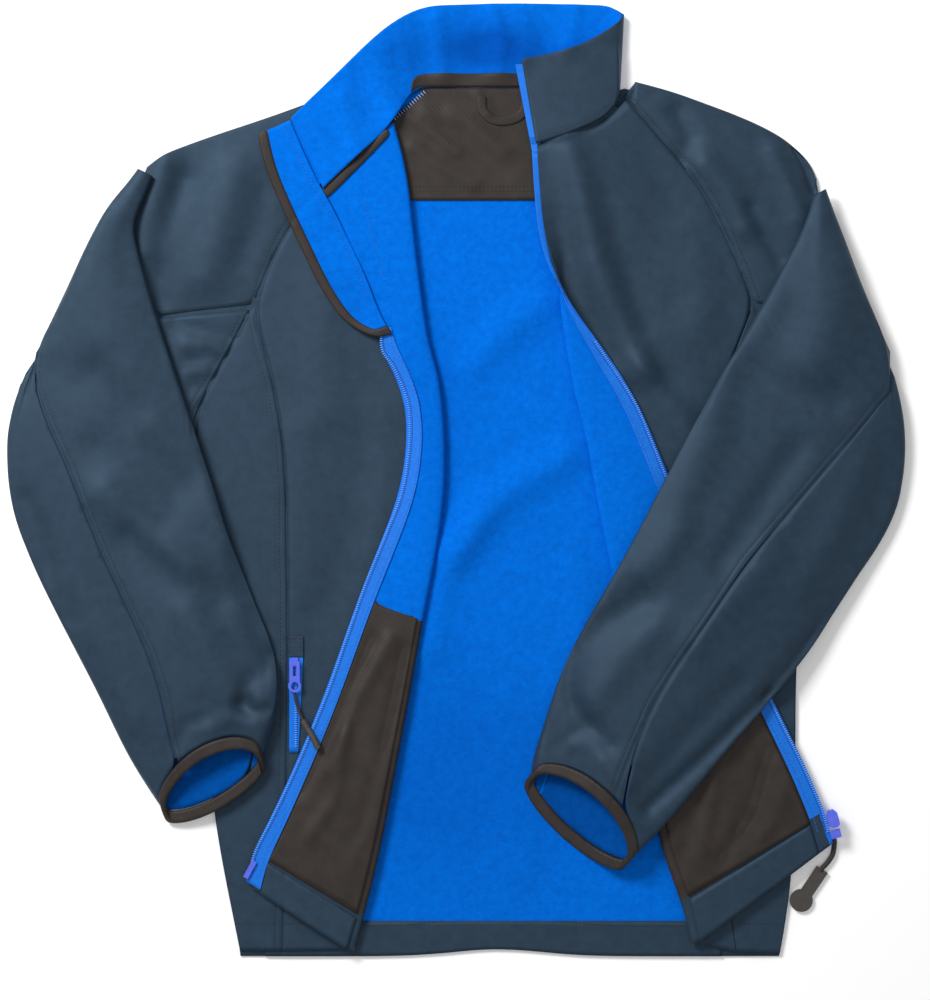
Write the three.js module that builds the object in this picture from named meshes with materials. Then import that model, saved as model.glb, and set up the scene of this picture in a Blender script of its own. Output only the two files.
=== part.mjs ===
import * as THREE from 'three';

// A softshell jacket that lies open on its back. Millimetres, +Z up, +Y to the collar,
// +X to the wearer's left. The origin is a point on the flat underside of the back.

const { PI, sin, cos, min, max, abs, hypot, sqrt, floor, ceil, round, exp } = Math;

// Thicknesses
const CLOTH = 1.6;
const COLLAR_CLOTH = 1.2;
const LINING = 1;
const BINDING = 2.2;
const GAP = 0.3;

// Heights of the middle of the cloth above the surface
const BACK_HEIGHT = CLOTH / 2;
const FRONT_HEIGHT = 4;
const SIDE_SEAM_HEIGHT = 2.75;
const SHOULDER_ROLL = 2;
const FRONT_ROLL = 3.6;

// Sleeves
const SLEEVE_LOFT = 17;
const SLEEVE_EDGE = 5;
const CUFF_BINDING_WIDTH = 10;
const CUFF_SEAM = 2;

// Seams and trims
const ZIP_TAPE = 14;
const TAPE_BEYOND_CLOTH = 6.5;

// Reads a table: the first text names the columns, and each row becomes an object.
function table(columns, rows) {
  const names = columns.split(' ');
  return rows.map((row) => Object.fromEntries(row.map((value, k) => [names[k], value])));
}

// Right front from the neck to the hem. Fold is its roll line, edge the zip edge that lies
// turned back over it, seam the raglan seam and then the princess seam, side the side seam.
// Bare is how far the cloth stops short of the edge: the zip tape goes on past it, and at the
// top, where there is no tape, the cloth goes on under the chin guard.
const RIGHT_FRONT = table('foldX foldY edgeX edgeY seamX seamY bare sideX sideY', [
  [-54, 304, -116, 247, -62, 298, -1],
  [-44, 268, -99, 228, -78, 283, -5],
  [-40, 238, -89, 204, -101, 261, -4],
  [-36, 200, -77, 179, -135, 229, -4],
  [-31, 162, -67, 153, -157, 190, -3],
  [-25, 116, -65, 109, -173, 150, 6.5, -176, 146],
  [-16, 92, -54, 93, -166, 117, 6.5, -193, 112],
  [-12, 60, -43, 64, -156, 82, 6.5, -225, 55],
  [-10, 23, -42, 30, -148, 34, 6.5, -222, 20],
  [-11, -13, -48, -9, -145, -13, 6.5, -220, -20],
  [-16, -51, -61, -44, -145, -55, 6.5, -219, -60],
  [-24, -94, -79, -88, -144, -98, 6.5, -216, -102],
  [-31, -127, -94, -130, -144, -136, 6.5, -213, -140],
  [-38, -170, -110, -176, -144, -179, 6.5, -212, -183],
  [-47, -217, -127, -218, -145, -225, 6.5, -211, -228],
  [-55, -259, -145, -259, -145, -268, 6.5, -209, -270],
  [-66, -318, -160, -290, -147, -322, 6.5, -201, -322],
  [-80, -373, -173, -316, -148, -371, 6.5, -191, -371],
  [-88, -400, -179, -342, -149, -401, 6.5, -185, -401],
]);

// Left front. Turn is how far the zip edge has rolled over, from flat to lying back on itself.
const LEFT_FRONT = table('foldX foldY edgeX edgeY seamX seamY turn sideX sideY', [
  [77, 289, 83, 289, 144, 323, 0],
  [81, 226, 87, 226, 188, 274, 0.02],
  [89, 197, 97, 197, 207, 251, 0.15],
  [90, 169, 99, 169, 222, 225, 0.5],
  [89, 145, 103, 143, 234, 200, 0.82],
  [92, 119, 119, 118, 245, 174, 1],
  [96, 94, 136, 93, 253, 151, 1, 255, 148],
  [102, 64, 154, 64, 242, 122, 1, 272, 115],
  [111, 34, 167, 34, 230, 94, 1, 302, 53],
  [118, -12, 185, -10, 221, 43, 1, 297, 15],
  [128, -60, 206, -55, 218, -17, 1, 294, -30],
  [139, -111, 228, -105, 217, -77, 1, 292, -85],
  [148, -162, 251, -153, 217, -136, 1, 290, -140],
  [157, -221, 275, -201, 218, -196, 1, 288, -196],
  [166, -272, 295, -241, 222, -255, 1, 289, -255],
  [174, -315, 307, -268, 227, -315, 1, 287, -315],
  [191, -357, 313, -283, 232, -365, 1, 282, -365],
  [200, -394, 319, -306, 238, -402, 1, 275, -404],
]);

// The back, between its two raglan seams and then its two side seams.
const BACK = table('y leftX rightX', [
  [335, -33, 133],
  [310, -61, 156],
  [287, -84, 173],
  [264, -104, 190],
  [213, -142, 225],
  [162, -174, 255],
  [115, -201, 279],
  [55, -225, 302],
  [0, -221, 296],
  [-51, -219, 292],
  [-102, -214, 290],
  [-145, -213, 289],
  [-187, -212, 289],
  [-238, -210, 289],
  [-289, -207, 288],
  [-344, -196, 283],
  [-376, -189, 279],
  [-406, -185, 275],
]);

// Shoulder caps: the raglan seam in front, the top of the shoulder and the raglan seam behind.
// Bow bends a row sideways in front.
const RIGHT_CAP = table('seamX seamY topX topY backX backY bow', [
  [-62, 298, -55, 331, -42, 327, 0],
  [-78, 283, -82, 331, -61, 310, 0],
  [-101, 261, -112, 327, -84, 287, 0],
  [-135, 229, -150, 312, -104, 264, 0],
  [-157, 190, -190, 299, -142, 213, 0],
  [-173, 150, -228, 286, -174, 162, 0],
  [-214, 145, -250, 277, -201, 115, 5],
  [-276, 138, -264, 266, -225, 55, 16],
]);
const LEFT_CAP = table('seamX seamY topX topY backX backY bow', [
  [147, 321, 152, 339, 141, 327, 0],
  [188, 274, 183, 331, 156, 310, 0],
  [207, 251, 207, 322, 173, 287, 0],
  [222, 225, 232, 313, 190, 264, 0],
  [234, 200, 258, 302, 225, 213, 0],
  [245, 174, 280, 290, 255, 162, 0],
  [253, 151, 300, 272, 279, 115, -4],
  [292, 146, 306, 256, 302, 55, -12],
]);

// Underarm panels, from the short seam to the armpit: the raglan seam and the end that
// goes on under the sleeve.
const RIGHT_UNDERARM = table('seamX seamY hiddenX hiddenY', [
  [-176, 145, -274, 136],
  [-193, 112, -270, 104],
  [-225, 56, -256, 52],
  [-224.4, 38, -250, 34],
]);
const LEFT_UNDERARM = table('seamX seamY hiddenX hiddenY', [
  [255, 147, 300, 142],
  [272, 115, 322, 106],
  [302, 54, 334, 52],
]);

// Sleeves as they lie flattened: the outer fold, the inner fold, and where the elbow seam
// runs, as a share of the width from the outer fold. Below 0 it is on the underside.
const RIGHT_SLEEVE = table('outerX outerY innerX innerY elbow', [
  [-271, 264, -259, 258, -0.2],
  [-280, 251, -264, 246, -0.14],
  [-292, 238, -272, 227, -0.12],
  [-303, 221, -276, 213, -0.1],
  [-320, 189, -270, 189, -0.08],
  [-333, 162, -261, 157, -0.06],
  [-346, 136, -250, 123, -0.04],
  [-359, 109, -239, 92, 0.0],
  [-373, 81, -227, 57, 0.1],
  [-382, 51, -216, 21, 0.22],
  [-383, 21, -205, -10, 0.3],
  [-381, -13, -195, -45, 0.35],
  [-370, -54, -182, -77, 0.37],
  [-349, -99, -169, -111, 0.38],
  [-325, -145, -156, -140, 0.37],
  [-301, -191, -150, -174, 0.35],
  [-279, -240, -155, -206, 0.31],
  [-252, -277, -166, -230, 0.26],
]);
const LEFT_SLEEVE = table('outerX outerY innerX innerY elbow', [
  [313, 247, 303, 241, -0.2],
  [321, 225, 297, 219, -0.14],
  [332, 200, 284, 193, -0.1],
  [344, 168, 270, 167, -0.07],
  [356, 139, 254, 141, -0.04],
  [368, 109, 237, 111, -0.01],
  [377, 75, 219, 81, 0.06],
  [383, 38, 201, 49, 0.24],
  [381, -5, 183, 15, 0.38],
  [368, -41, 164, -22, 0.45],
  [344, -78, 144, -60, 0.5],
  [317, -119, 122, -98, 0.51],
  [289, -160, 100, -136, 0.52],
  [255, -200, 84, -173, 0.52],
  [215, -245, 73, -211, 0.48],
  [179, -291, 65, -236, 0.41],
  [149, -320, 65, -247, 0.31],
]);

// The collar from the right front round the neck to the left front: the neck seam, the top
// edge and the height of the cloth at each.
const COLLAR = table('seamX seamY seamZ topX topY topZ', [
  [-113.6, 247.4, 12, -141, 307, 14],
  [-101, 260, 12.4, -128, 320, 15],
  [-86, 273.5, 12.8, -112, 335, 15],
  [-70, 288, 12.6, -92, 355, 14],
  [-55.5, 303, 12, -68, 379, 12],
  [-46, 320, 9.5, -48, 394, 9],
  [-36, 335.6, 3.6, -27, 404, 5],
  [-14, 335.6, 1.6, -2, 405, 3],
  [12, 335.6, 1.6, 28, 406, 2.2],
  [37, 335.6, 1.6, 54, 406, 3.2],
  [62, 335.6, 1.6, 80, 406, 2.2],
  [88, 335.6, 1.6, 105, 405, 2.4],
  [112, 335.6, 1.7, 122, 405, 2.6],
  [128, 335, 3, 133, 403, 3.4],
  [138, 331, 7.5, 141, 396, 8],
  [137, 321, 12, 137, 388, 13],
  [122, 306, 13, 113, 373, 15],
  [105, 299, 13, 97, 366, 15],
  [88, 292, 12, 76, 361, 14],
  [67, 286, 10.5, 55, 357, 12],
]);

// The chin guard beside the collar and the top of the right zip edge.
const CHIN_GUARD = table('seamX seamY outerX outerY outerZ', [
  [-141.5, 305, -161, 297, 12],
  [-131, 280, -156, 272, 12],
  [-119, 254, -149, 253, 11],
  [-107, 234, -140, 232, 10.5],
  [-96, 212, -130, 211, 9.5],
  [-86, 191, -120, 190, 9],
  [-77, 172, -110, 169, 8.5],
  [-70, 152, -99, 151, 8],
  [-64, 138, -87, 135, 7.6],
  [-60, 131, -70, 127, 7.6],
]);

// Soft folds laid by hand: two ends and a middle of the crest, height and half width.
// Those of the chest lift the left front, those of the back lift its fleece side.
const CHEST_FOLDS = table('x1 y1 x2 y2 x3 y3 height width', [
  [77, 280, 100, 213, 130, 153, 5, 13],
  [121, 265, 155, 195, 181, 135, 5, 14],
]);
const BACK_FOLDS = table('x1 y1 x2 y2 x3 y3 height width', [
  [72, 150, 40, 128, 15, 98, 2.4, 17],
  [90, 20, 36, -14, -4, -62, 2.8, 18],
  [20, -30, -12, -90, -20, -145, 2, 16],
]);

const navy = { color: 0x34495a, roughness: 0.72 };
const fleece = { color: 0x0468dc, roughness: 0.95 };
const liningBrown = { color: 0x3f3833, roughness: 0.6 };
const tapeBlue = { color: 0x2f7de8, roughness: 0.7 };
const paintedZinc = { color: 0x4a6bd8, roughness: 0.4, metalness: 0.3 };
const rubber = { color: 0x4a4541, roughness: 0.6 };

const jacket = new THREE.Group();

function place(name, geometry, finish) {
  const mesh = new THREE.Mesh(geometry, new THREE.MeshStandardMaterial(finish));
  mesh.name = name;
  jacket.add(mesh);
  return mesh;
}

const mix = (a, b, share) => a + (b - a) * share;
const clamp = (value, low, high) => min(max(value, low), high);
const smooth = (share) => {
  const s = clamp(share, 0, 1);
  return s * s * (3 - 2 * s);
};

function spot(row, name) {
  return new THREE.Vector3(row[name + 'X'], row[name + 'Y'], row[name + 'Z'] ?? 0);
}

function flatDistance(x, y, ax, ay, bx, by) {
  const along = ((x - ax) * (bx - ax) + (y - ay) * (by - ay)) / ((bx - ax) ** 2 + (by - ay) ** 2);
  const s = clamp(along, 0, 1);
  return hypot(x - mix(ax, bx, s), y - mix(ay, by, s));
}

function foldsAt(folds, x, y) {
  let lift = 0;
  for (const f of folds) {
    const first = flatDistance(x, y, f.x1, f.y1, f.x2, f.y2);
    const second = flatDistance(x, y, f.x2, f.y2, f.x3, f.y3);
    lift += f.height * exp(-((min(first, second) / f.width) ** 2));
  }
  return max(0, lift - 0.2);
}

// What already lies on the surface, as a grid of the highest points in each cell.
const CELL = 4;
const BED_LEFT = -440;
const BED_LOW = -480;
const BED_COLUMNS = 220;
const BED_ROWS = 240;
const bed = new Float32Array(BED_COLUMNS * BED_ROWS);

function coverBed(geometry) {
  const corner = geometry.attributes.position;
  const faces = geometry.index;
  const [a, b, c, p] = [0, 0, 0, 0].map(() => new THREE.Vector3());
  for (let f = 0; f < faces.count; f += 3) {
    a.fromBufferAttribute(corner, faces.getX(f));
    b.fromBufferAttribute(corner, faces.getX(f + 1));
    c.fromBufferAttribute(corner, faces.getX(f + 2));
    const steps = max(1, ceil(max(a.distanceTo(b), b.distanceTo(c), c.distanceTo(a)) / (CELL / 2)));
    for (let i = 0; i <= steps; i++) {
      for (let j = 0; j <= steps - i; j++) {
        const [s, t] = [i / steps, j / steps];
        p.copy(a).multiplyScalar(1 - s - t).addScaledVector(b, s).addScaledVector(c, t);
        const column = clamp(floor((p.x - BED_LEFT) / CELL), 0, BED_COLUMNS - 1);
        const row = clamp(floor((p.y - BED_LOW) / CELL), 0, BED_ROWS - 1);
        const cell = row * BED_COLUMNS + column;
        bed[cell] = max(bed[cell], p.z);
      }
    }
  }
}

function filtered(source, reach, alongX, combine) {
  const result = new Float32Array(source.length);
  for (let row = 0; row < BED_ROWS; row++) {
    for (let column = 0; column < BED_COLUMNS; column++) {
      const values = [];
      for (let step = -reach; step <= reach; step++) {
        const c = clamp(column + (alongX ? step : 0), 0, BED_COLUMNS - 1);
        const r = clamp(row + (alongX ? 0 : step), 0, BED_ROWS - 1);
        values.push(source[r * BED_COLUMNS + c]);
      }
      result[row * BED_COLUMNS + column] = combine(values);
    }
  }
  return result;
}

// The height of what lies below, widened by reach and smoothed over blur, both in mm.
function heightBelow(reach, blur) {
  const highest = (values) => max(...values);
  const average = (values) => values.reduce((sum, value) => sum + value, 0) / values.length;
  const reachCells = ceil(reach / CELL);
  const blurCells = ceil(blur / CELL);
  let map = filtered(filtered(bed, reachCells, true, highest), reachCells, false, highest);
  for (const alongX of [true, false, true, false]) {
    map = filtered(map, blurCells, alongX, average);
  }
  return (x, y) => {
    const column = clamp((x - BED_LEFT) / CELL - 0.5, 0, BED_COLUMNS - 2);
    const row = clamp((y - BED_LOW) / CELL - 0.5, 0, BED_ROWS - 2);
    const [c, r] = [floor(column), floor(row)];
    const at = (k, l) => map[(r + l) * BED_COLUMNS + c + k];
    return mix(mix(at(0, 0), at(1, 0), column - c), mix(at(0, 1), at(1, 1), column - c), row - r);
  };
}

// Normals of a grid of points, in rows along the piece and columns across it.
function gridNormals(grid, ringed) {
  const last = grid[0].length - 1;
  return grid.map((row, i) => row.map((_, j) => {
    const before = ringed ? (j + last) % (last + 1) : max(j - 1, 0);
    const after = ringed ? (j + 1) % (last + 1) : min(j + 1, last);
    const across = row[after].clone().sub(row[before]);
    const along = grid[min(i + 1, grid.length - 1)][j].clone().sub(grid[max(i - 1, 0)][j]);
    return across.cross(along).normalize();
  }));
}

// A closed wall about a grid of points, moved out by lift.
function wall(grid, thickness, { lift = 0, ringed = false, normals = gridNormals(grid, ringed) } = {}) {
  const rows = grid.length;
  const columns = grid[0].length;
  const points = [];
  for (const offset of [lift + thickness / 2, lift - thickness / 2]) {
    grid.forEach((row, i) => row.forEach((point, j) => {
      points.push(...point.clone().addScaledVector(normals[i][j], offset).toArray());
    }));
  }
  const faces = [];
  const quad = (a, b, c, d) => faces.push(a, b, c, a, c, d);
  const at = (side, i, j) => side * rows * columns + i * columns + (j % columns);
  const spans = ringed ? columns : columns - 1;
  for (let i = 0; i < rows - 1; i++) {
    for (let j = 0; j < spans; j++) {
      quad(at(0, i, j), at(0, i, j + 1), at(0, i + 1, j + 1), at(0, i + 1, j));
      faces.push(at(1, i, j), at(1, i + 1, j + 1), at(1, i, j + 1));
      faces.push(at(1, i, j), at(1, i + 1, j), at(1, i + 1, j + 1));
    }
  }
  for (let j = 0; j < spans; j++) {
    quad(at(0, 0, j), at(1, 0, j), at(1, 0, j + 1), at(0, 0, j + 1));
    quad(at(0, rows - 1, j), at(0, rows - 1, j + 1), at(1, rows - 1, j + 1), at(1, rows - 1, j));
  }
  for (let i = 0; i < rows - 1 && !ringed; i++) {
    quad(at(0, i, 0), at(0, i + 1, 0), at(1, i + 1, 0), at(1, i, 0));
    const end = columns - 1;
    quad(at(0, i, end), at(1, i, end), at(1, i + 1, end), at(0, i + 1, end));
  }
  return closedGeometry(points, faces);
}

// Turns the faces outwards where the volume comes out negative.
function closedGeometry(points, faces) {
  const corner = (k) => new THREE.Vector3().fromArray(points, faces[k] * 3);
  let volume = 0;
  for (let f = 0; f < faces.length; f += 3) {
    volume += corner(f).dot(corner(f + 1).cross(corner(f + 2)));
  }
  if (volume < 0) faces.reverse();
  const geometry = new THREE.BufferGeometry();
  geometry.setAttribute('position', new THREE.Float32BufferAttribute(points, 3));
  geometry.setIndex(faces);
  geometry.computeVertexNormals();
  return geometry;
}

// A panel of cloth: its mesh, its grid and the normals that trims on it are moved out along.
function panel(name, grid, finish, thickness = CLOTH, ringed = false) {
  const normals = gridNormals(grid, ringed);
  const mesh = place(name, wall(grid, thickness, { normals, ringed }), finish);
  coverBed(mesh.geometry);
  return { grid, normals, mesh };
}

// A point on a panel at a row and column counted in its own grid, on its real facets.
function onPanel(base, row, column) {
  const i = clamp(floor(row), 0, base.grid.length - 2);
  const j = clamp(floor(column), 0, base.grid[0].length - 2);
  const [s, t] = [row - i, column - j];
  const blend = (field) => {
    const at = (k, l) => field[i + k][j + l];
    const middle = t >= s ? at(0, 1) : at(1, 0);
    return at(0, 0).clone().multiplyScalar(1 - max(s, t)).addScaledVector(middle, abs(t - s))
      .addScaledVector(at(1, 1), min(s, t));
  };
  return { point: blend(base.grid), normal: blend(base.normals).normalize() };
}

function stations(from, to) {
  const list = [from];
  for (let k = floor(from) + 1; k < to - 1e-6; k++) {
    if (k > from + 0.02 && k < to - 0.02) list.push(k);
  }
  list.push(to);
  return list;
}

// A trim that lies on a panel between two columns and two rows of its grid. The rows may
// differ at the first and the last column, and a margin in mm is kept from the panel's edge.
function trim(name, base, options) {
  const { columns, rows, rowsAtEnd = rows, lift, thickness = LINING, finish, margin = 0 } = options;
  const columnList = stations(...columns);
  const lastColumn = base.grid[0].length - 1;
  const widthAt = (row) => onPanel(base, row, lastColumn).point
    .distanceTo(onPanel(base, row, lastColumn - 1).point);
  const inner = stations(max(rows[0], rowsAtEnd[0]), min(rows[1], rowsAtEnd[1])).slice(1, -1);
  const rowList = ['first', ...inner, 'last'];
  const share = (column) => (column - columns[0]) / (columns[1] - columns[0]);
  const normals = [];
  const grid = rowList.map((key) => {
    const samples = columnList.map((column) => {
      const first = mix(rows[0], rowsAtEnd[0], share(column));
      const last = mix(rows[1], rowsAtEnd[1], share(column));
      const row = key === 'first' ? first : key === 'last' ? last : key;
      const atEdge = margin > 0 && column === columns[1];
      return onPanel(base, row, atEdge ? lastColumn - margin / widthAt(row) : column);
    });
    normals.push(samples.map((sample) => sample.normal));
    return samples.map((sample) => sample.point);
  });
  const mesh = place(name, wall(grid, thickness, { lift, normals }), finish);
  coverBed(mesh.geometry);
  return { grid, normals, mesh };
}

const ABOVE_CLOTH = CLOTH / 2 + GAP + LINING / 2;

// Back
const HEM_Y = -406;
const HEM_DIP = 7;
function hemLine(x) {
  return HEM_Y + HEM_DIP * exp(-(((x - 35) / 45) ** 2));
}
const BACK_COLUMNS = 13;
const backGrid = BACK.map((row, i) => Array.from({ length: BACK_COLUMNS + 1 }, (_, j) => {
  const x = mix(row.leftX + GAP, row.rightX - GAP, j / BACK_COLUMNS);
  const y = i === BACK.length - 1 ? hemLine(x) : row.y;
  return new THREE.Vector3(x, y, BACK_HEIGHT + foldsAt(BACK_FOLDS, x, y));
}));
const back = panel('back', backGrid, navy);
const backInside = back.normals[1][1].z > 0 ? ABOVE_CLOTH : -ABOVE_CLOTH;
trim('hem_back', back, {
  columns: [0.6, BACK_COLUMNS - 1.4],
  rows: [16, 17],
  lift: backInside,
  finish: navy,
});
trim('back_yoke_lining', back, {
  columns: [0.5, BACK_COLUMNS - 0.5],
  rows: [0.02, 3.5],
  lift: backInside,
  finish: liningBrown,
});

// Hanger loop, a flat ribbon bent into a loop on the yoke
const LOOP_PATH = [[21, 327], [21.5, 316], [28, 308.5], [38, 306], [49, 308], [57, 314], [60, 327]];
const LOOP_WIDTH = 7.5;
const loopHeight = BACK_HEIGHT + ABOVE_CLOTH + LINING + GAP;
function ribbon(name, path, width, height, thickness, finish) {
  const line = new THREE.CatmullRomCurve3(path.map(([x, y]) => new THREE.Vector3(x, y, 0)));
  const steps = path.length * 2;
  const grid = Array.from({ length: steps + 1 }, (_, i) => {
    const point = line.getPoint(i / steps);
    const ahead = line.getTangent(i / steps);
    const side = new THREE.Vector3(-ahead.y, ahead.x, 0).multiplyScalar(width / 2);
    return [-1, 1].map((sign) => {
      const corner = point.clone().addScaledVector(side, sign);
      corner.z = typeof height === 'function' ? height(corner.x, corner.y) : height;
      return corner;
    });
  });
  const mesh = place(name, wall(grid, thickness), finish);
  coverBed(mesh.geometry);
  return mesh;
}
ribbon('hanger_loop', LOOP_PATH, LOOP_WIDTH, loopHeight, LINING, liningBrown);

// Shoulder caps, each one cloth from the front raglan seam over the shoulder to the back
const CAP_LOFT = 3;
function cap(name, rows, neighbourSide) {
  const grid = rows.map((row, i) => {
    const seam = spot(row, 'seam');
    const top = spot(row, 'top');
    const behind = spot(row, 'back');
    seam.x += neighbourSide * GAP;
    behind.x += neighbourSide * 2 * GAP;
    const inFront = seam.clone().sub(top).normalize();
    const inBack = behind.clone().sub(top).normalize();
    const start = top.clone().addScaledVector(inFront, SHOULDER_ROLL);
    const loft = CAP_LOFT * smooth(i / 2) * (1 - 0.6 * smooth((i - 4) / 3));
    const points = [];
    const frontSteps = 5;
    for (let k = 0; k < frontSteps; k++) {
      const s = k / frontSteps;
      const point = seam.clone().lerp(start, s);
      point.x += -row.bow * 4 * s * (1 - s);
      point.z = mix(FRONT_HEIGHT, BACK_HEIGHT + 2 * SHOULDER_ROLL, s) + loft * sin(PI * s);
      points.push(point);
    }
    const turnSteps = 4;
    for (let k = 0; k <= turnSteps; k++) {
      const angle = (PI * k) / turnSteps;
      const inward = inFront.clone().lerp(inBack, k / turnSteps).normalize();
      const point = top.clone().addScaledVector(inward, SHOULDER_ROLL * (1 - sin(angle)));
      point.z = BACK_HEIGHT + SHOULDER_ROLL * (1 + cos(angle));
      points.push(point);
    }
    for (let k = 1; k <= 3; k++) {
      const point = top.clone().addScaledVector(inBack, SHOULDER_ROLL).lerp(behind, k / 3);
      point.z = BACK_HEIGHT;
      points.push(point);
    }
    return points;
  });
  return panel(name, grid, navy);
}
cap('sleeve_right_cap', RIGHT_CAP, -1);
cap('sleeve_left_cap', LEFT_CAP, 1);

function underarm(name, rows, neighbourSide) {
  const steps = 5;
  const grid = rows.map((row, i) => Array.from({ length: steps + 1 }, (_, j) => {
    const s = j / steps;
    const point = spot(row, 'seam').lerp(spot(row, 'hidden'), s);
    point.x += neighbourSide * 4 * GAP;
    point.z = FRONT_HEIGHT + 2 * sin(PI * s) * (i < rows.length - 1 ? 1 : 0.3);
    return point;
  }));
  return panel(name, grid, navy);
}
underarm('sleeve_right_underarm', RIGHT_UNDERARM, -1);
underarm('sleeve_left_underarm', LEFT_UNDERARM, 1);

// Fronts. Each row runs from the seam to the roll line, round it, and back to the zip edge.
const LOWER_STEPS = 5;
const ROLL_STEPS = 4;
const UPPER_STEPS = 4;
function rolledFront(name, rows, { lowHeight, edgeDrop, neckBow }) {
  const grid = rows.map((row, i) => {
    const turn = row.turn ?? 1;
    const seam = spot(row, 'seam');
    const fold = spot(row, 'fold');
    const back = spot(row, 'edge').sub(fold);
    const bare = row.bare ?? TAPE_BEYOND_CLOTH * smooth((turn - 0.6) / 0.4);
    const beyond = back.length() - FRONT_ROLL - bare;
    back.normalize();
    const inward = seam.clone().sub(fold).normalize();
    seam.addScaledVector(inward, -GAP / 2);
    const start = fold.clone().addScaledVector(inward, FRONT_ROLL);
    const low = lowHeight(i);
    const bow = i === 0 ? neckBow : 0;
    const points = [];
    for (let k = 0; k < LOWER_STEPS; k++) {
      const s = k / LOWER_STEPS;
      const point = seam.clone().lerp(start, s);
      point.y -= bow * 4 * s * (1 - s);
      point.z = mix(i === 0 ? low : FRONT_HEIGHT, low, smooth(s * 2));
      point.z += name === 'front_left' ? foldsAt(CHEST_FOLDS, point.x, point.y) * smooth(s * 3) : 0;
      points.push(point);
    }
    const curl = max(turn, 0.001) / FRONT_ROLL;
    const wide = name === 'front_left' ? foldsAt(CHEST_FOLDS, start.x, start.y) * (1 - turn) : 0;
    const end = new THREE.Vector3();
    for (let k = 0; k <= ROLL_STEPS; k++) {
      const length = (PI * FRONT_ROLL * k) / ROLL_STEPS;
      const angle = length * curl;
      const point = start.clone().addScaledVector(inward, -sin(angle) / curl);
      point.z = low + wide + (1 - cos(angle)) / curl;
      points.push(point);
      end.copy(point);
    }
    const angle = PI * turn;
    const heading = cos(angle) < 0 ? back.clone().multiplyScalar(-cos(angle))
      : inward.clone().multiplyScalar(-cos(angle));
    for (let k = 1; k <= UPPER_STEPS; k++) {
      const s = k / UPPER_STEPS;
      const point = end.clone().addScaledVector(heading, beyond * s);
      point.z += beyond * s * sin(angle) - edgeDrop(i) * s * s * turn;
      points.push(point);
    }
    return points;
  });
  return panel(name, grid, navy);
}
const rightFront = rolledFront('front_right', RIGHT_FRONT, {
  lowHeight: () => FRONT_HEIGHT,
  edgeDrop: (i) => mix(0.4, 4.4, smooth((i - 1) / 5)),
  neckBow: 0,
});
const leftFront = rolledFront('front_left', LEFT_FRONT, {
  lowHeight: (i) => FRONT_HEIGHT + mix(4.5, 0.4, smooth(i / 3)),
  edgeDrop: (i) => 4.4 * smooth((i - 4) / 3),
  neckBow: 9,
});

// Side panels, from the princess seam to the side seam
function sidePanel(name, rows) {
  const steps = 4;
  const sign = rows.at(-1).sideX < 0 ? -1 : 1;
  const grid = rows.filter((row) => row.sideX !== undefined).map((row) => {
    const seam = spot(row, 'seam');
    const side = spot(row, 'side');
    return Array.from({ length: steps + 1 }, (_, j) => {
      const s = j / steps;
      const point = seam.clone().lerp(side, s);
      point.x += sign * (GAP / 2 + 0.1) * (1 - s);
      point.z = mix(FRONT_HEIGHT, SIDE_SEAM_HEIGHT, smooth(s * 1.6 - 0.6));
      return point;
    });
  });
  return panel(name, grid, navy);
}
sidePanel('side_right', RIGHT_FRONT);
sidePanel('side_left', LEFT_FRONT);

// Trims on the two fronts. Column 9 is where the roll ends, and the last is the zip edge.
const ROLL_END = LOWER_STEPS + ROLL_STEPS;
const LAST_COLUMN = ROLL_END + UPPER_STEPS;
const rightInside = ABOVE_CLOTH * (rightFront.normals[8][LAST_COLUMN - 1].z > 0 ? 1 : -1);
const leftInside = ABOVE_CLOTH * (leftFront.normals[12][LAST_COLUMN - 1].z > 0 ? 1 : -1);
trim('pocket_bag_right', rightFront, {
  columns: [ROLL_END + 0.1, LAST_COLUMN],
  margin: ZIP_TAPE - TAPE_BEYOND_CLOTH + 1,
  rows: [11.7, 16.94],
  rowsAtEnd: [11.3, 16.94],
  lift: rightInside,
  finish: liningBrown,
});
trim('hem_front_right', rightFront, {
  columns: [ROLL_END + 0.1, LAST_COLUMN],
  margin: ZIP_TAPE - TAPE_BEYOND_CLOTH + 1,
  rows: [17, 18],
  lift: rightInside,
  finish: navy,
});
trim('pocket_bag_left', leftFront, {
  columns: [ROLL_END + 0.1, LAST_COLUMN],
  margin: ZIP_TAPE - TAPE_BEYOND_CLOTH + 1,
  rows: [10.5, 15.94],
  lift: leftInside,
  finish: liningBrown,
});
trim('hem_front_left', leftFront, {
  columns: [ROLL_END + 0.1, LAST_COLUMN],
  margin: ZIP_TAPE - TAPE_BEYOND_CLOTH + 1,
  rows: [16, 17],
  lift: leftInside,
  finish: navy,
});
trim('neck_tape_front', rightFront, {
  columns: [ROLL_END + 0.2, LAST_COLUMN],
  rows: [0.02, 0.2],
  rowsAtEnd: [0.02, 0.42],
  lift: rightInside,
  finish: liningBrown,
});

// The place on a panel that lies a length in from its edge, measured over the cloth.
function walkIn(base, row, length) {
  let left = length;
  for (let column = base.grid[0].length - 1; column > 1; column--) {
    const here = onPanel(base, row, column);
    const next = onPanel(base, row, column - 1);
    const step = here.point.distanceTo(next.point);
    if (step > left) return onPanel(base, row, column - left / step);
    left -= step;
  }
  return onPanel(base, row, 1);
}

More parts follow.
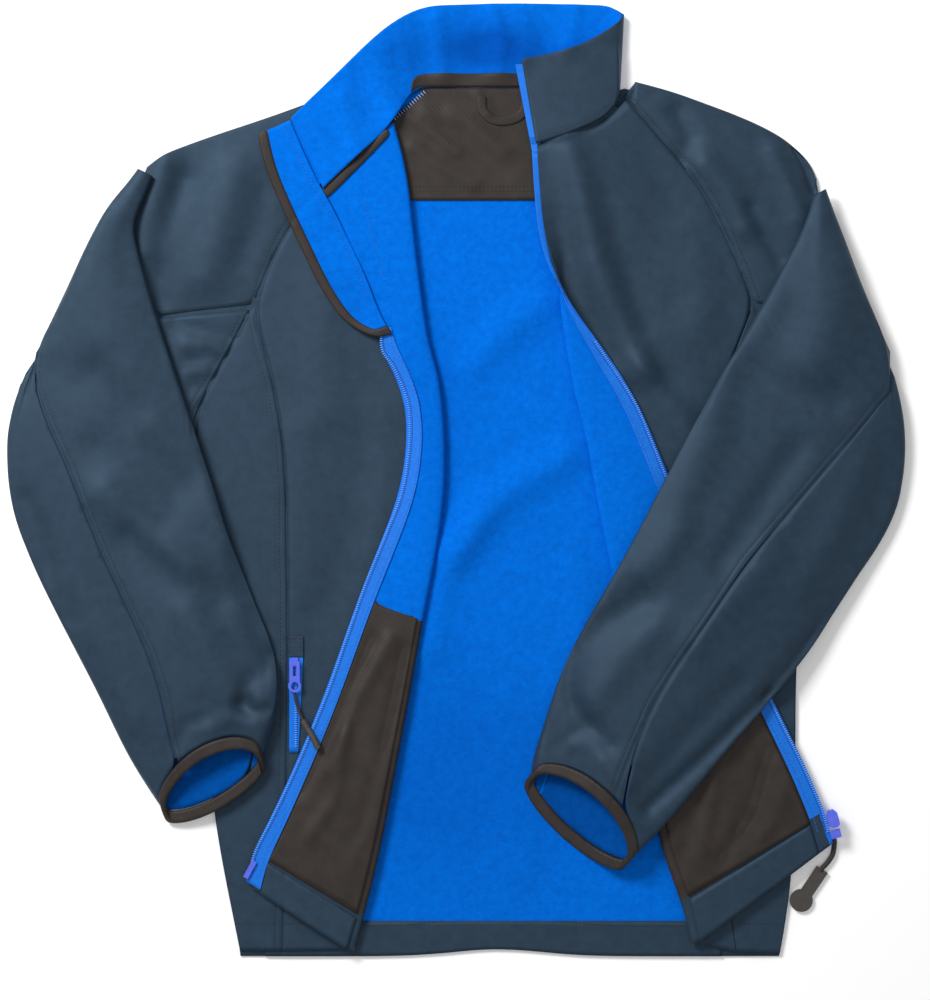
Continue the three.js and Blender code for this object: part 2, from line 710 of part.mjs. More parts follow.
// Zip tapes lie on the inside of each front along its zip edge and go on past the cloth
function zipTape(name, front, lift, [firstRow, lastRow], clothWidth, beyondCloth) {
  const rows = stations(firstRow, lastRow);
  const normals = [];
  const grid = rows.map((row) => {
    const edge = onPanel(front, row, LAST_COLUMN);
    const samples = [1, 0.66, 0.33].map((share) => walkIn(front, row, clothWidth(row) * share));
    const outward = edge.point.clone().sub(samples[2].point).normalize();
    const past = { point: edge.point.clone().addScaledVector(outward, beyondCloth(row)) };
    past.normal = edge.normal;
    samples.push(edge, past);
    normals.push(samples.map((sample) => sample.normal));
    return samples.map((sample) => sample.point);
  });
  const mesh = place(name, wall(grid, LINING, { lift, normals }), tapeBlue);
  coverBed(mesh.geometry);
  return { grid, normals };
}
const TAPE_ON_CLOTH = ZIP_TAPE - TAPE_BEYOND_CLOTH;
const bareAt = (row) => {
  const [before, after] = [RIGHT_FRONT[floor(row)], RIGHT_FRONT[ceil(row)]];
  return mix(before.bare, after.bare, row - floor(row));
};
zipTape('zip_tape_right', rightFront, rightInside, [4.6, 17.9], () => TAPE_ON_CLOTH, bareAt);
const LEFT_TAPE_AT_NECK = 5;
zipTape('zip_tape_left', leftFront, leftInside * 1.2, [0.05, 17],
  (row) => mix(1.5, TAPE_ON_CLOTH, smooth((row - 4) / 2)),
  (row) => mix(LEFT_TAPE_AT_NECK, TAPE_BEYOND_CLOTH, smooth((row - 3) / 2)));

// Collar, two cloths back to back, and the tape over the back neck seam on its fleece side
const collarBelow = heightBelow(8, 4);
const COLLAR_STEPS = 4;
const collarGrid = COLLAR.map((row) => Array.from({ length: COLLAR_STEPS + 1 }, (_, j) => {
  const s = j / COLLAR_STEPS;
  const point = spot(row, 'seam').lerp(spot(row, 'top'), s);
  const clear = COLLAR_CLOTH + 2 * GAP;
  const floorBelow = point.y > BACK[0].y && point.z < 4 ? 0 : collarBelow(point.x, point.y);
  point.z = max(point.z, floorBelow + clear, clear);
  return point;
}));
const collarNormals = gridNormals(collarGrid, false);
const fleeceSide = collarNormals[8][2].z > 0 ? 1 : -1;
const collarLift = (COLLAR_CLOTH + GAP) / 2;
const collarOuter = place('collar_outer', wall(collarGrid, COLLAR_CLOTH, {
  lift: -fleeceSide * collarLift,
  normals: collarNormals,
}), navy);
const collarInner = place('collar_inner', wall(collarGrid, COLLAR_CLOTH, {
  lift: fleeceSide * collarLift,
  normals: collarNormals,
}), fleece);
coverBed(collarOuter.geometry);
coverBed(collarInner.geometry);
trim('neck_tape_back', { grid: collarGrid, normals: collarNormals }, {
  columns: [0.02, 0.6],
  rows: [5.6, 12.4],
  lift: fleeceSide * (collarLift + COLLAR_CLOTH / 2 + GAP + LINING / 2),
  finish: liningBrown,
});

// Chin guard and its bound edge
const guardBelow = heightBelow(8, 4);
const guardGrid = CHIN_GUARD.map((row) => Array.from({ length: 4 }, (_, j) => {
  const s = j / 3;
  const point = spot(row, 'seam').lerp(spot(row, 'outer'), s);
  point.z = max(row.outerZ, guardBelow(point.x, point.y) + COLLAR_CLOTH / 2 + GAP);
  return point;
}));
panel('chin_guard', guardGrid, fleece, COLLAR_CLOTH);
const GUARD_BINDING = 8;
const flatHeading = (from, to) => to.clone().sub(from).setZ(0).normalize();
const [guardBefore, guardLast] = guardGrid.slice(-2);
const bindingEdge = guardGrid.map((row) => [row[3], flatHeading(row[0], row[3])]);
const bindingEnd = [2, 1, 0].map((j) => [guardLast[j], flatHeading(guardBefore[j], guardLast[j])]);
bindingEdge.at(-1)[1].add(flatHeading(guardBefore[3], guardLast[3]));
const bindingGrid = [...bindingEdge, ...bindingEnd].map(([point, outward]) => (
  [3 * GAP, GUARD_BINDING].map((along) => point.clone().addScaledVector(outward, along))));
place('chin_guard_binding', wall(bindingGrid, BINDING), liningBrown);

// Pocket on the right front: welt, zip tape, slider, pull tab, cord and its grip
function slab(name, corners, low, high, finish) {
  const shape = new THREE.Shape(corners.map(([x, y]) => new THREE.Vector2(x, y)));
  const geometry = new THREE.ExtrudeGeometry(shape, { depth: high - low, bevelEnabled: false });
  geometry.translate(0, 0, low);
  return place(name, geometry, finish);
}
const POCKET_X = -139;
const POCKET_TOP = -133;
const WELT_BOTTOM = -151;
const POCKET_BOTTOM = -232;
const frontTop = FRONT_HEIGHT + CLOTH / 2 + GAP;
slab('pocket_welt', [
  [POCKET_X - 4, POCKET_TOP], [POCKET_X + 8, POCKET_TOP],
  [POCKET_X + 8, WELT_BOTTOM + GAP], [POCKET_X - 4, WELT_BOTTOM + GAP],
], frontTop, frontTop + CLOTH, navy);
slab('pocket_zip_tape', [
  [POCKET_X - 4, WELT_BOTTOM], [POCKET_X + 8, WELT_BOTTOM],
  [POCKET_X + 4, POCKET_BOTTOM], [POCKET_X - 4, POCKET_BOTTOM],
], frontTop, frontTop + LINING, tapeBlue);

const PIVOT_Y = -154;
const SLIDER_TOP = frontTop + LINING + GAP + 2.4;
slab('pocket_slider', [
  [POCKET_X - 3, PIVOT_Y - 5], [POCKET_X - 1.6, PIVOT_Y + 3], [POCKET_X + 3.6, PIVOT_Y + 3],
  [POCKET_X + 5, PIVOT_Y - 5],
], frontTop + LINING + GAP, SLIDER_TOP, paintedZinc);

function ringShape(centreX, centreY, outer, hole) {
  const shape = new THREE.Shape();
  shape.absarc(centreX, centreY, outer, 0, 2 * PI);
  const inside = new THREE.Path();
  inside.absarc(centreX, centreY, hole, 0, 2 * PI, true);
  shape.holes.push(inside);
  return shape;
}
const TAB_LOW = SLIDER_TOP + GAP;
const TAB_THICKNESS = 1.6;
const TAB_X = POCKET_X + 1;
const RING_Y = -175;
const RING = { outer: 5.5, hole: 3.4 };
const tabShape = new THREE.Shape();
const tabHalf = 4.2;
tabShape.moveTo(TAB_X - tabHalf, PIVOT_Y);
tabShape.lineTo(TAB_X - tabHalf, RING_Y + 3);
tabShape.absarc(TAB_X, RING_Y, RING.outer, PI * 0.8, PI * 2.2);
tabShape.lineTo(TAB_X + tabHalf, PIVOT_Y);
const tabHole = new THREE.Path();
tabHole.absarc(TAB_X, RING_Y, RING.hole, 0, 2 * PI, true);
tabShape.holes.push(tabHole);
const SLOT = { half: 1.5, top: -157.5, bottom: -166.5 };
tabShape.holes.push(new THREE.Path([
  new THREE.Vector2(TAB_X - SLOT.half, SLOT.top), new THREE.Vector2(TAB_X - SLOT.half, SLOT.bottom),
  new THREE.Vector2(TAB_X + SLOT.half, SLOT.bottom), new THREE.Vector2(TAB_X + SLOT.half, SLOT.top),
]));
const tabGeometry = new THREE.ExtrudeGeometry(tabShape, {
  depth: TAB_THICKNESS,
  bevelEnabled: false,
  curveSegments: 10,
});
tabGeometry.translate(0, 0, TAB_LOW);
place('pocket_tab', tabGeometry, paintedZinc);

// Cords are round tubes along points laid by hand
function cordTube(name, points, diameter, sides, finish) {
  const line = new THREE.CatmullRomCurve3(points.map((p) => new THREE.Vector3(...p)));
  const section = new THREE.Shape();
  section.absarc(0, 0, diameter / 2, 0, 2 * PI);
  const geometry = new THREE.ExtrudeGeometry(section, {
    steps: max(6, round(line.getLength() / (diameter * 2))),
    curveSegments: sides,
    extrudePath: line,
    bevelEnabled: false,
  });
  return place(name, geometry, finish);
}
const tabMiddle = TAB_LOW + TAB_THICKNESS / 2;
const CORD_DIAMETER = 2.5;
const POCKET_CORD = [
  [-138, -181, tabMiddle], [-137.4, -184.5, 9.8], [-136.6, -189, 9.6], [-134.4, -196, 9.6],
  [-131.4, -203.4, 10],
];
cordTube('pocket_cord', POCKET_CORD, CORD_DIAMETER, 8, rubber);
cordTube('pocket_cord_end', [
  [-131.2, -204, 10.2], [-127, -211, 11], [-122, -219, 12.4], [-117.8, -228, 13],
], 5.6, 10, rubber);

// Main zip: its slider and box at the foot of the left front, its pin on the right front
const leftEdgeTop = leftFront.grid[16][LAST_COLUMN].z + CLOTH / 2 + GAP + LINING + GAP;
const SLIDER = { x: 319.4, y: -288.2, half: 4.6, height: 5, tilt: 0.26 };
function turned(corners, centreX, centreY, angle) {
  return corners.map(([x, y]) => [
    centreX + x * cos(angle) - y * sin(angle),
    centreY + x * sin(angle) + y * cos(angle),
  ]);
}
slab('zip_slider', turned([
  [-SLIDER.half, 5], [-2, 8.5], [2, 8.5], [SLIDER.half, 5], [SLIDER.half, -5], [2, -7], [-2, -7],
  [-SLIDER.half, -5],
], SLIDER.x, SLIDER.y, SLIDER.tilt), leftEdgeTop, leftEdgeTop + SLIDER.height, paintedZinc);
const boxLow = leftFront.grid[17][LAST_COLUMN].z + 1.2 * ABOVE_CLOTH + LINING / 2 + GAP;
slab('zip_box', turned([[-4.4, 3.4], [4.4, 3.4], [4.4, -3.8], [-4.4, -3.8]], 321.6, -300.4, SLIDER.tilt), boxLow,
  boxLow + 2.6, tapeBlue);
const rightEdgeTop = rightFront.grid[17][LAST_COLUMN].z + CLOTH / 2 + GAP + LINING + GAP;
slab('zip_pin', turned([[-2.2, 8], [2.2, 8], [2.2, -8], [-2.2, -8]], -176, -331, -0.5),
  rightEdgeTop, rightEdgeTop + 2, paintedZinc);

const MAIN_CORD = [
  [320.6, -304.6, 6], [321.6, -308, 4.2], [321.4, -314, 2.4], [320, -320, 2.3], [316, -326, 2.3],
  [311.6, -330.6, 2.3],
];
cordTube('main_cord', MAIN_CORD, 4.4, 8, rubber);
const TAG = { x: 293.6, y: -358.5, radius: 9.7, half: 5.5, height: 2.6 };
const neckAngle = Math.atan2(-332 - TAG.y, 311.6 - TAG.x);
const tagShape = new THREE.Shape();
const neckHalf = Math.asin(TAG.half / TAG.radius);
tagShape.absarc(TAG.x, TAG.y, TAG.radius, neckAngle + neckHalf, neckAngle - neckHalf + 2 * PI);
const neckLength = hypot(-332 - TAG.y, 311.6 - TAG.x);
for (const side of [-1, 1]) {
  tagShape.lineTo(
    TAG.x + neckLength * cos(neckAngle) - side * TAG.half * sin(neckAngle),
    TAG.y + neckLength * sin(neckAngle) + side * TAG.half * cos(neckAngle),
  );
}
const tagGeometry = new THREE.ExtrudeGeometry(tagShape, {
  depth: TAG.height,
  bevelEnabled: false,
  curveSegments: 16,
});
tagGeometry.translate(0, 0, 0.6);
place('main_cord_tag', tagGeometry, rubber);

// Sleeves. A section is a flattened ring whose underside follows what it lies on.
const sleeveBelow = heightBelow(40, 8);
const sleeveTopBelow = heightBelow(40, 36);
const CUFF_TILT = { over: 30, below: 16 };
function sleeve(side, rows) {
  const last = rows.length - 1;
  const axisAt = (i) => {
    const middle = (row) => spot(row, 'outer').lerp(spot(row, 'inner'), 0.5);
    return middle(rows[min(i + 1, last)]).sub(middle(rows[max(i - 1, 0)])).normalize();
  };
  // Round is the share of the ring, from the inner fold over the top and back below.
  const pointAt = (i, round, past = 0) => {
    const row = rows[i];
    const onTop = round > 0 && round < 0.5;
    const across = round <= 0.5 ? abs(round) * 2 : (1 - round) * 2;
    const outer = spot(row, 'outer');
    const inner = spot(row, 'inner');
    const width = outer.distanceTo(inner);
    const edge = min(SLEEVE_EDGE, width * 0.4);
    const fromEdge = min(across, 1 - across) * width;
    const curve = fromEdge < edge ? sqrt(edge ** 2 - (edge - fromEdge) ** 2) : edge;
    const loftHere = min(SLEEVE_LOFT, edge * 2 + width * 0.06) - edge * 2;
    const crown = loftHere * smooth((fromEdge - edge * 0.6) / (width * 0.45));
    const point = inner.clone().lerp(outer, across);
    const tilt = (onTop ? -CUFF_TILT.over : CUFF_TILT.below) * smooth((i - last + 3) / 3);
    point.addScaledVector(axisAt(i), tilt * sqrt(max(0, 1 - (2 * across - 1) ** 2)) + past);
    const bottom = sleeveBelow(point.x, point.y) + GAP + CLOTH / 2;
    const top = max(sleeveTopBelow(point.x, point.y), bottom) + GAP + CLOTH / 2;
    point.z = onTop ? mix(bottom, top, smooth(fromEdge / 30)) + edge + curve + crown
      : bottom + edge - curve;
    return point;
  };
  const seamAt = (row) => 0.5 * (1 - row.elbow);
  const UNDERARM_SEAM = 0.93;
  const seamGap = (row) => 0.45 / spot(row, 'outer').distanceTo(spot(row, 'inner'));
  const frontGrid = rows.map((row, i) => {
    const end = seamAt(row) - seamGap(row);
    const fold = [UNDERARM_SEAM - 1, -0.035, -0.014, -0.004, 0.004, 0.014, 0.035];
    const rest = [0.2, 0.4, 0.6, 0.78, 0.9, 0.955, 0.98, 1].map((s) => mix(0.035, end, s));
    return [...fold, ...rest].map((round) => pointAt(i, round));
  });
  const backGridOf = rows.map((row, i) => {
    const start = seamAt(row) + seamGap(row);
    const turnAt = [0.475, 0.49, 0.498, 0.506, 0.52].map((s, k) => max(s, start + 0.004 * (k + 1)));
    const underarmSeam = UNDERARM_SEAM - 2 * seamGap(row);
    const rest = [0.17, 0.33, 0.5, 0.67, 0.83, 1].map((s) => mix(turnAt.at(-1), underarmSeam, s));
    const lead = [start, mix(start, turnAt[0], 0.5)];
    return [...lead, ...turnAt, ...rest].map((round) => pointAt(i, round));
  });
  panel(`sleeve_${side}_front`, frontGrid, navy);
  panel(`sleeve_${side}_back`, backGridOf, navy);
  const ring = [-0.2, -0.1, -0.04, -0.012, 0.012, 0.04, 0.1, 0.18, 0.25, 0.32, 0.4, 0.46, 0.488,
    0.512, 0.54, 0.6, 0.66, 0.73];
  const bindingRows = [CUFF_SEAM, CUFF_BINDING_WIDTH / 2, CUFF_BINDING_WIDTH];
  const binding = bindingRows.map((past) => ring.map((round) => pointAt(last, round, past)));
  place(`cuff_binding_${side}`, wall(binding, BINDING, { ringed: true }), liningBrown);
}
sleeve('right', RIGHT_SLEEVE);
sleeve('left', LEFT_SLEEVE);

export default jacket;
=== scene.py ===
import math

import bmesh
import bpy
import numpy as np
from bpy.props import FloatProperty, FloatVectorProperty, PointerProperty
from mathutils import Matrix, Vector, noise
from mathutils.bvhtree import BVHTree


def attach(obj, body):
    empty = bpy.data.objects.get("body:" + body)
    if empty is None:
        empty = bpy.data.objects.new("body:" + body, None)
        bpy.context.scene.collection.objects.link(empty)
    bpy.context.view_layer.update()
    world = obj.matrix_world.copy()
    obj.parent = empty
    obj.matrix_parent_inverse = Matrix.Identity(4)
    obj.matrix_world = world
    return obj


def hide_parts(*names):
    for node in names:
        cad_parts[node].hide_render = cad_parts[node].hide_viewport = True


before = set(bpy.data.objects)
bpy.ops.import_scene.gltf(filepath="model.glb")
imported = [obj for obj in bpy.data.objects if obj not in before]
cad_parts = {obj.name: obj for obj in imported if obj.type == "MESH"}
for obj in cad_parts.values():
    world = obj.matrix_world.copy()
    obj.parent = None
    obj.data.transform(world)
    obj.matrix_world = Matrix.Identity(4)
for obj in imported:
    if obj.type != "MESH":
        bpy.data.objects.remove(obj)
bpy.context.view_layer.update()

bl_info = {
    "name": "Softshell jacket",
    "version": (1, 0, 0),
    "blender": (4, 5, 0),
    "location": "View3D > Sidebar > Jacket",
    "description": "Dresses a softshell jacket that lies open on its back",
    "category": "Object",
}

MM = 0.001
# Thickness of the softshell in millimetres.
CLOTH = 1.6

# The middle of the photograph on the jacket, and the camera's height, in millimetres.
VIEW_X = 6.8
VIEW_Y = -17.0
CAMERA_HEIGHT = 2371.0
CAMERA_LENS = 100.0
CAMERA_SENSOR = 36.0
# Soft studio lights: the place and the size in metres and the power in watts.
LIGHTS = {
    "key_light": ((-1.25, 1.35, 1.7), 0.8, 62),
    "top_light": ((0.2, -0.4, 3.0), 2.2, 12),
}
SKY_STRENGTH = 0.4
# The floor's size, and how far it lies below the jacket, in metres.
FLOOR_SIZE = 6
FLOOR_GAP = 0.0002


def linear(code):
    """An sRGB hex colour as linear red, green and blue."""
    values = [int(code[k : k + 2], 16) / 255 for k in (1, 3, 5)]
    return tuple(v / 12.92 if v <= 0.04045 else ((v + 0.055) / 1.055) ** 2.4 for v in values)


def colour(name, description, code):
    return FloatVectorProperty(
        name=name, description=description, subtype="COLOR", size=3, min=0, max=1,
        default=linear(code),
    )


def length(name, description, size):
    return FloatProperty(
        name=name, description=description, default=size * MM, unit="LENGTH", precision=5
    )


class JacketColours(bpy.types.PropertyGroup):
    navy: colour("Navy", "Face of the softshell in the shade", "#1D2B39")
    navy_light: colour("Navy, lit", "Face of the softshell on its high places", "#233443")
    fleece: colour("Fleece", "Brushed inside of the softshell", "#0060C6")
    fleece_light: colour("Fleece, lit", "Tips of the fleece", "#006CDA")
    lining: colour("Lining", "Woven lining, bindings and tapes", "#241E1B")
    lining_light: colour("Lining, lit", "Threads of the lining that catch the light", "#312A26")
    zip_tape: colour("Zip tape", "Woven tape of the zips", "#0064CC")
    zip_teeth: colour("Zip teeth", "Coil of the zips", "#4C93F0")
    metal: colour("Slider", "Painted zinc of the sliders and the pull tab", "#4A5BD2")
    rubber: colour("Rubber", "Moulded grip and tag", "#37332F")
    cord: colour("Cord", "Braided pull cords", "#26231F")
    overlock: colour("Overlock", "Pale thread of the overlocked seam", "#7FA4EE")
    floor: colour("Floor", "The surface that the jacket lies on", "#FFFFFF")


class JacketSizes(bpy.types.PropertyGroup):
    stitch: length("Stitch", "Length of one topstitch", 2.5)
    stitch_pitch: length("Stitch pitch", "From one topstitch to the next", 3.4)
    thread: length("Thread", "Thickness of the sewing thread", 0.8)
    tooth_pitch: length("Tooth pitch", "From one turn of the zip's coil to the next", 1.9)
    tooth: length("Tooth", "Width of the zip's coil", 2.9)
    unevenness: length("Unevenness", "How far the cloth wavers between its folds", 0.5)


def colours():
    return bpy.context.scene.jacket_colours


def sizes():
    return bpy.context.scene.jacket_sizes


# Soft folds laid one by one, in millimetres. A set has the heights where its folds begin to show
# and where they show in full, so that an underside stays where it rests. A fold has x and y of
# three points of its crest, how far it rises, or sinks where negative, and its half width.
FOLDS = {
    "back": ((0.4, 0.7), [
        (72, 150, 40, 128, 15, 98, 4.4, 15), (92, 20, 36, -14, -4, -62, 5.5, 15),
        (20, -30, -12, -90, -20, -145, 3.4, 13), (40, -200, 60, -260, 50, -330, 2.1, 22),
        (100, -68, 113, -136, 88, -187, 1.8, 14),
    ]),
    "chest": ((2.6, 3.6), [
        (97, 280, 119, 185, 158, 96, 6.7, 14), (158, 96, 181, 64, 202, 34, 5.8, 14),
        (84, 225, 105, 153, 130, 102, -1.8, 10), (127, 238, 149, 153, 179, 81, -2.4, 13),
        (156, 185, 168, 167, 184, 153, -1.3, 15), (168, 119, 198, 92, 217, 72, 2.9, 12),
        (198, 212, 211, 162, 207, 128, 2.6, 17), (162, 276, 177, 246, 198, 208, -1.2, 12),
    ]),
    "front_right": ((3.2, 4.2), [
        (-60, 60, -62, -10, -75, -60, 1.4, 14), (-108, 187, -115, 119, -108, 60, 2.9, 20),
        (-133, 42, -129, -34, -133, -102, 2.3, 18), (-78, 34, -89, -51, -116, -110, -1.4, 16),
    ]),
    "cap_right": ((2.2, 3.8), [
        (-248, 272, -256, 234, -261, 196, 5.4, 13), (-234, 255, -254, 204, -254, 153, -3.8, 11),
        (-189, 264, -200, 221, -214, 174, 4.8, 17), (-166, 246, -169, 221, -184, 187, -1.5, 10),
    ]),
    "underarm_right": ((2.5, 3.5), [
        (-239, 134, -214, 126, -195, 119, -2.2, 7), (-230, 115, -214, 117, -195, 110, 2.6, 7.5),
        (-231, 100, -212, 105, -196, 99, -1.5, 5), (-229, 92, -214, 95, -200, 90, 1.6, 5),
        (-225, 81, -214, 82, -205, 80, -1.8, 5), (-222, 68, -214, 70, -210, 70, 1.3, 5),
    ]),
    "cap_left": ((2.2, 3.8), [
        (188, 313, 198, 293, 191, 268, -3.5, 9), (162, 301, 177, 280, 190, 246, -2, 8),
        (212, 268, 230, 246, 245, 217, 4.8, 12), (251, 231, 262, 211, 275, 189, -3.2, 7),
        (287, 285, 298, 264, 304, 246, -4.2, 5), (270, 280, 283, 251, 292, 225, 3.8, 9),
    ]),
    "sleeve_right": ((8, 14), [
        (-303, 221, -325, 166, -346, 119, 3.8, 18), (-263, 212, -244, 153, -231, 102, 2.6, 10),
        (-305, 87, -269, 34, -235, 0, -7.2, 21), (-303, 26, -278, -8, -252, -34, -3.8, 17),
        (-297, -10, -261, -42, -227, -75, 4.9, 17), (-278, -51, -244, -81, -206, -102, -4.3, 16),
        (-261, 42, -218, -8, -189, -68, 3.8, 14), (-188, -68, -172, -110, -161, -144, -4.3, 10),
        (-223, -110, -206, -153, -189, -178, 3.5, 16),
        (-154, -149, -174, -172, -182, -190, -4.9, 9),
        (-182, -190, -174, -196, -162, -194, -2.9, 7),
        (-166, -160, -172, -178, -166, -187, 2.9, 8),
        (-370, -17, -350, -76, -329, -119, -4.3, 12),
        (-337, -94, -303, -144, -278, -204, 3.2, 15), (-239, -223, -227, -206, -214, -202, -2, 7),
        (-206, -208, -189, -200, -172, -206, 2, 8), (-214, -187, -200, -211, -184, -221, -1.4, 8),
    ]),
    "sleeve_left": ((11, 20), [
        (330, 178, 321, 144, 304, 102, 4.6, 24), (245, 94, 283, 72, 317, 68, -4.9, 17),
        (266, 153, 245, 110, 219, 68, 3.5, 14), (219, 51, 198, 0, 168, -55, 4.3, 17),
        (287, 26, 258, -17, 224, -68, -3.8, 12), (344, 8, 326, -42, 292, -85, 4.3, 18),
        (198, -136, 232, -102, 266, -64, 3.5, 15), (94, -153, 122, -123, 156, -102, -6.1, 14),
        (156, -76, 173, -68, 190, -42, 3.8, 14), (113, -187, 143, -149, 168, -123, 3.5, 13),
        (88, -166, 98, -191, 128, -223, -4.1, 9), (81, -225, 94, -217, 113, -207, -2.3, 7),
        (84, -197, 89, -211, 96, -223, 2, 8), (156, -264, 198, -212, 241, -170, -3.5, 12),
        (365, -47, 332, -95, 262, -182, -5.2, 7), (262, -182, 212, -231, 162, -277, -5.2, 7),
        (122, -238, 132, -251, 143, -259, 1.7, 8),
    ]),
    "collar": ((1, 3), [
        (-17, 393, -14, 370, -12, 344, 3.3, 8), (11, 396, 20, 374, 13, 347, -1.3, 8),
        (31, 398, 39, 374, 37, 347, 3.3, 8), (54, 398, 60, 374, 55, 357, 2.4, 9),
        (100, 400, 98, 378, 93, 366, 2.1, 8), (-82, 340, -70, 310, -63, 289, -2, 9),
        (-99, 323, -89, 293, -82, 272, 2.7, 10), (-53, 361, -47, 336, -44, 323, -1.6, 8),
    ]),
    "bags": ((5.5, 8), [
        (-57, -136, -87, -187, -108, -246, 2.4, 7), (-44, -144, -61, -221, -81, -298, -1.8, 6),
        (-72, -136, -99, -204, -133, -264, -1.8, 6), (-95, -217, -104, -272, -125, -302, 2, 6),
        (-65, -238, -72, -289, -91, -332, 1.2, 7), (241, -208, 217, -259, 205, -323, 2.2, 7),
        (266, -230, 251, -280, 225, -323, -2, 6), (281, -255, 269, -289, 255, -310, 1.2, 6),
        (207, -255, 198, -298, 190, -332, -1.2, 7), (236, -264, 228, -298, 241, -323, 1, 7),
    ]),
    "yoke": ((1, 2), [
        (-27, 313, 11, 306, 37, 280, 1.8, 8), (-44, 312, -24, 298, 0, 280, 1.6, 5),
        (-14, 314, 3, 293, 37, 264, -0.8, 7), (-38, 284, -12, 266, 14, 252, 1.5, 6),
        (18, 330, 21, 323, 27, 314, 0.8, 5),
    ]),
    "plain": ((0, 1), []),
}

# The groove at a seam and at its topstitch: how deep, and its half width, in millimetres.
SEAM_GROOVES = ((0.7, 2.0), (0.4, 1.3))
# The waves of the cloth: how long in millimetres, their layer of the noise and their strength.
WAVES = ((55, 3.0, 1.0), (17, 9.0, 0.35))
# Cloth that a fold would press into the floor stays at this height, in millimetres.
LOWEST_LIFTED = 0.05
# How far from a seam its groove is looked for, in millimetres.
GROOVE_REACH = 9


def flat_distance(x, y, ax, ay, bx, by):
    span = (bx - ax) ** 2 + (by - ay) ** 2
    share = np.clip(((x - ax) * (bx - ax) + (y - ay) * (by - ay)) / span, 0, 1)
    return np.hypot(x - ax - share * (bx - ax), y - ay - share * (by - ay))


def fold_lift(folds, x, y):
    """How far the folds lift the cloth over x and y, all in millimetres."""
    lift = np.zeros_like(x)
    for x1, y1, x2, y2, x3, y3, height, width in folds:
        first = flat_distance(x, y, x1, y1, x2, y2)
        second = flat_distance(x, y, x2, y2, x3, y3)
        lift += height * np.exp(-((np.minimum(first, second) / width) ** 2))
    return lift


def line_distance(line, x, y):
    """How far each x and y lies from a line through points in millimetres."""
    nearest = np.full_like(x, 1e3)
    for (ax, ay), (bx, by) in zip(line, line[1:]):
        close = (x > min(ax, bx) - GROOVE_REACH) & (x < max(ax, bx) + GROOVE_REACH)
        close &= (y > min(ay, by) - GROOVE_REACH) & (y < max(ay, by) + GROOVE_REACH)
        if close.any():
            found = flat_distance(x[close], y[close], ax, ay, bx, by)
            nearest[close] = np.minimum(nearest[close], found)
    return nearest


def three_columns(items, attribute):
    """An attribute of each vertex, normal or face, as rows of x, y and z."""
    values = np.empty(len(items) * 3)
    items.foreach_get(attribute, values)
    return values.reshape(-1, 3)


def soften(mesh, fold_set):
    """Moves a dressed cloth up and down by its folds and by the cloth's own unevenness."""
    places = three_columns(mesh.vertices, "co") / MM
    x, y, z = places.T
    middle = z - three_columns(mesh.vertex_normals, "vector")[:, 2] * CLOTH / 2
    (low, high), folds = FOLDS[fold_set]
    share = np.clip((middle - low) / (high - low), 0, 1)
    share = share * share * (3 - 2 * share)
    lift = fold_lift(folds, x, y)
    for offset, _, line in SEAMS.values():
        for (depth, width), path in zip(SEAM_GROOVES, (line, beside(line, offset))):
            lift -= depth * np.exp(-((line_distance(path, x, y) / width) ** 2))
    for span, layer, strength in WAVES:
        wave = np.array([noise.noise(Vector((a / span, b / span, layer))) for a, b in zip(x, y)])
        lift += sizes().unevenness / MM * strength * wave
    places[:, 2] = np.maximum(z + lift * share, np.minimum(z, LOWEST_LIFTED))
    mesh.vertices.foreach_set("co", (places * MM).ravel())
    mesh.update()


def add_node(tree, kind, settings=None, links=None):
    """One shader node with its settings, by socket or by attribute, and its links."""
    made = tree.nodes.new("ShaderNode" + kind)
    for name, value in (settings or {}).items():
        if name in made.inputs:
            made.inputs[name].default_value = value
        else:
            setattr(made, name, value)
    for socket, source in (links or {}).items():
        tree.links.new(source, made.inputs[socket])
    return made


def rgba(value):
    return (*value, 1.0)


def mottled(tree, place, dark, light, patch_mm, contrast=1.0):
    """A colour that wanders between two over patches of a size in millimetres."""
    patch = {"Scale": 1 / (patch_mm * MM), "Detail": 4.0, "Roughness": 0.6}
    patches = add_node(tree, "TexNoise", patch, {"Vector": place})
    ends = {"From Min": 0.5 - 0.25 / contrast, "From Max": 0.5 + 0.25 / contrast}
    spread = add_node(tree, "MapRange", ends, {"Value": patches.outputs["Fac"]})
    tones = {"Color1": rgba(dark), "Color2": rgba(light)}
    mix = add_node(tree, "MixRGB", tones, {"Fac": spread.outputs["Result"]})
    return mix.outputs["Color"]


def raised(tree, place, kind, settings, strength, depth_mm):
    """The surface's direction where a texture raises it by a depth in millimetres."""
    texture = add_node(tree, kind, settings, {"Vector": place})
    height = {"Strength": strength, "Distance": depth_mm * MM}
    return add_node(tree, "Bump", height, {"Height": texture.outputs["Fac"]}).outputs["Normal"]


# Soft patches of painted shade that darken the fleece, as inside the collar, which stands up and
# curls: the middle and half sizes in millimetres, and how much of the dark tone shows.
PAINTED_SHADE_PATCHES = [
    (28, 368, 95, 42, 0.75), (-45, 362, 40, 40, 0.3), (0, -250, 190, 170, 0.3),
    (-20, 60, 60, 150, 0.15), (-95, 150, 60, 60, 0.12),
]


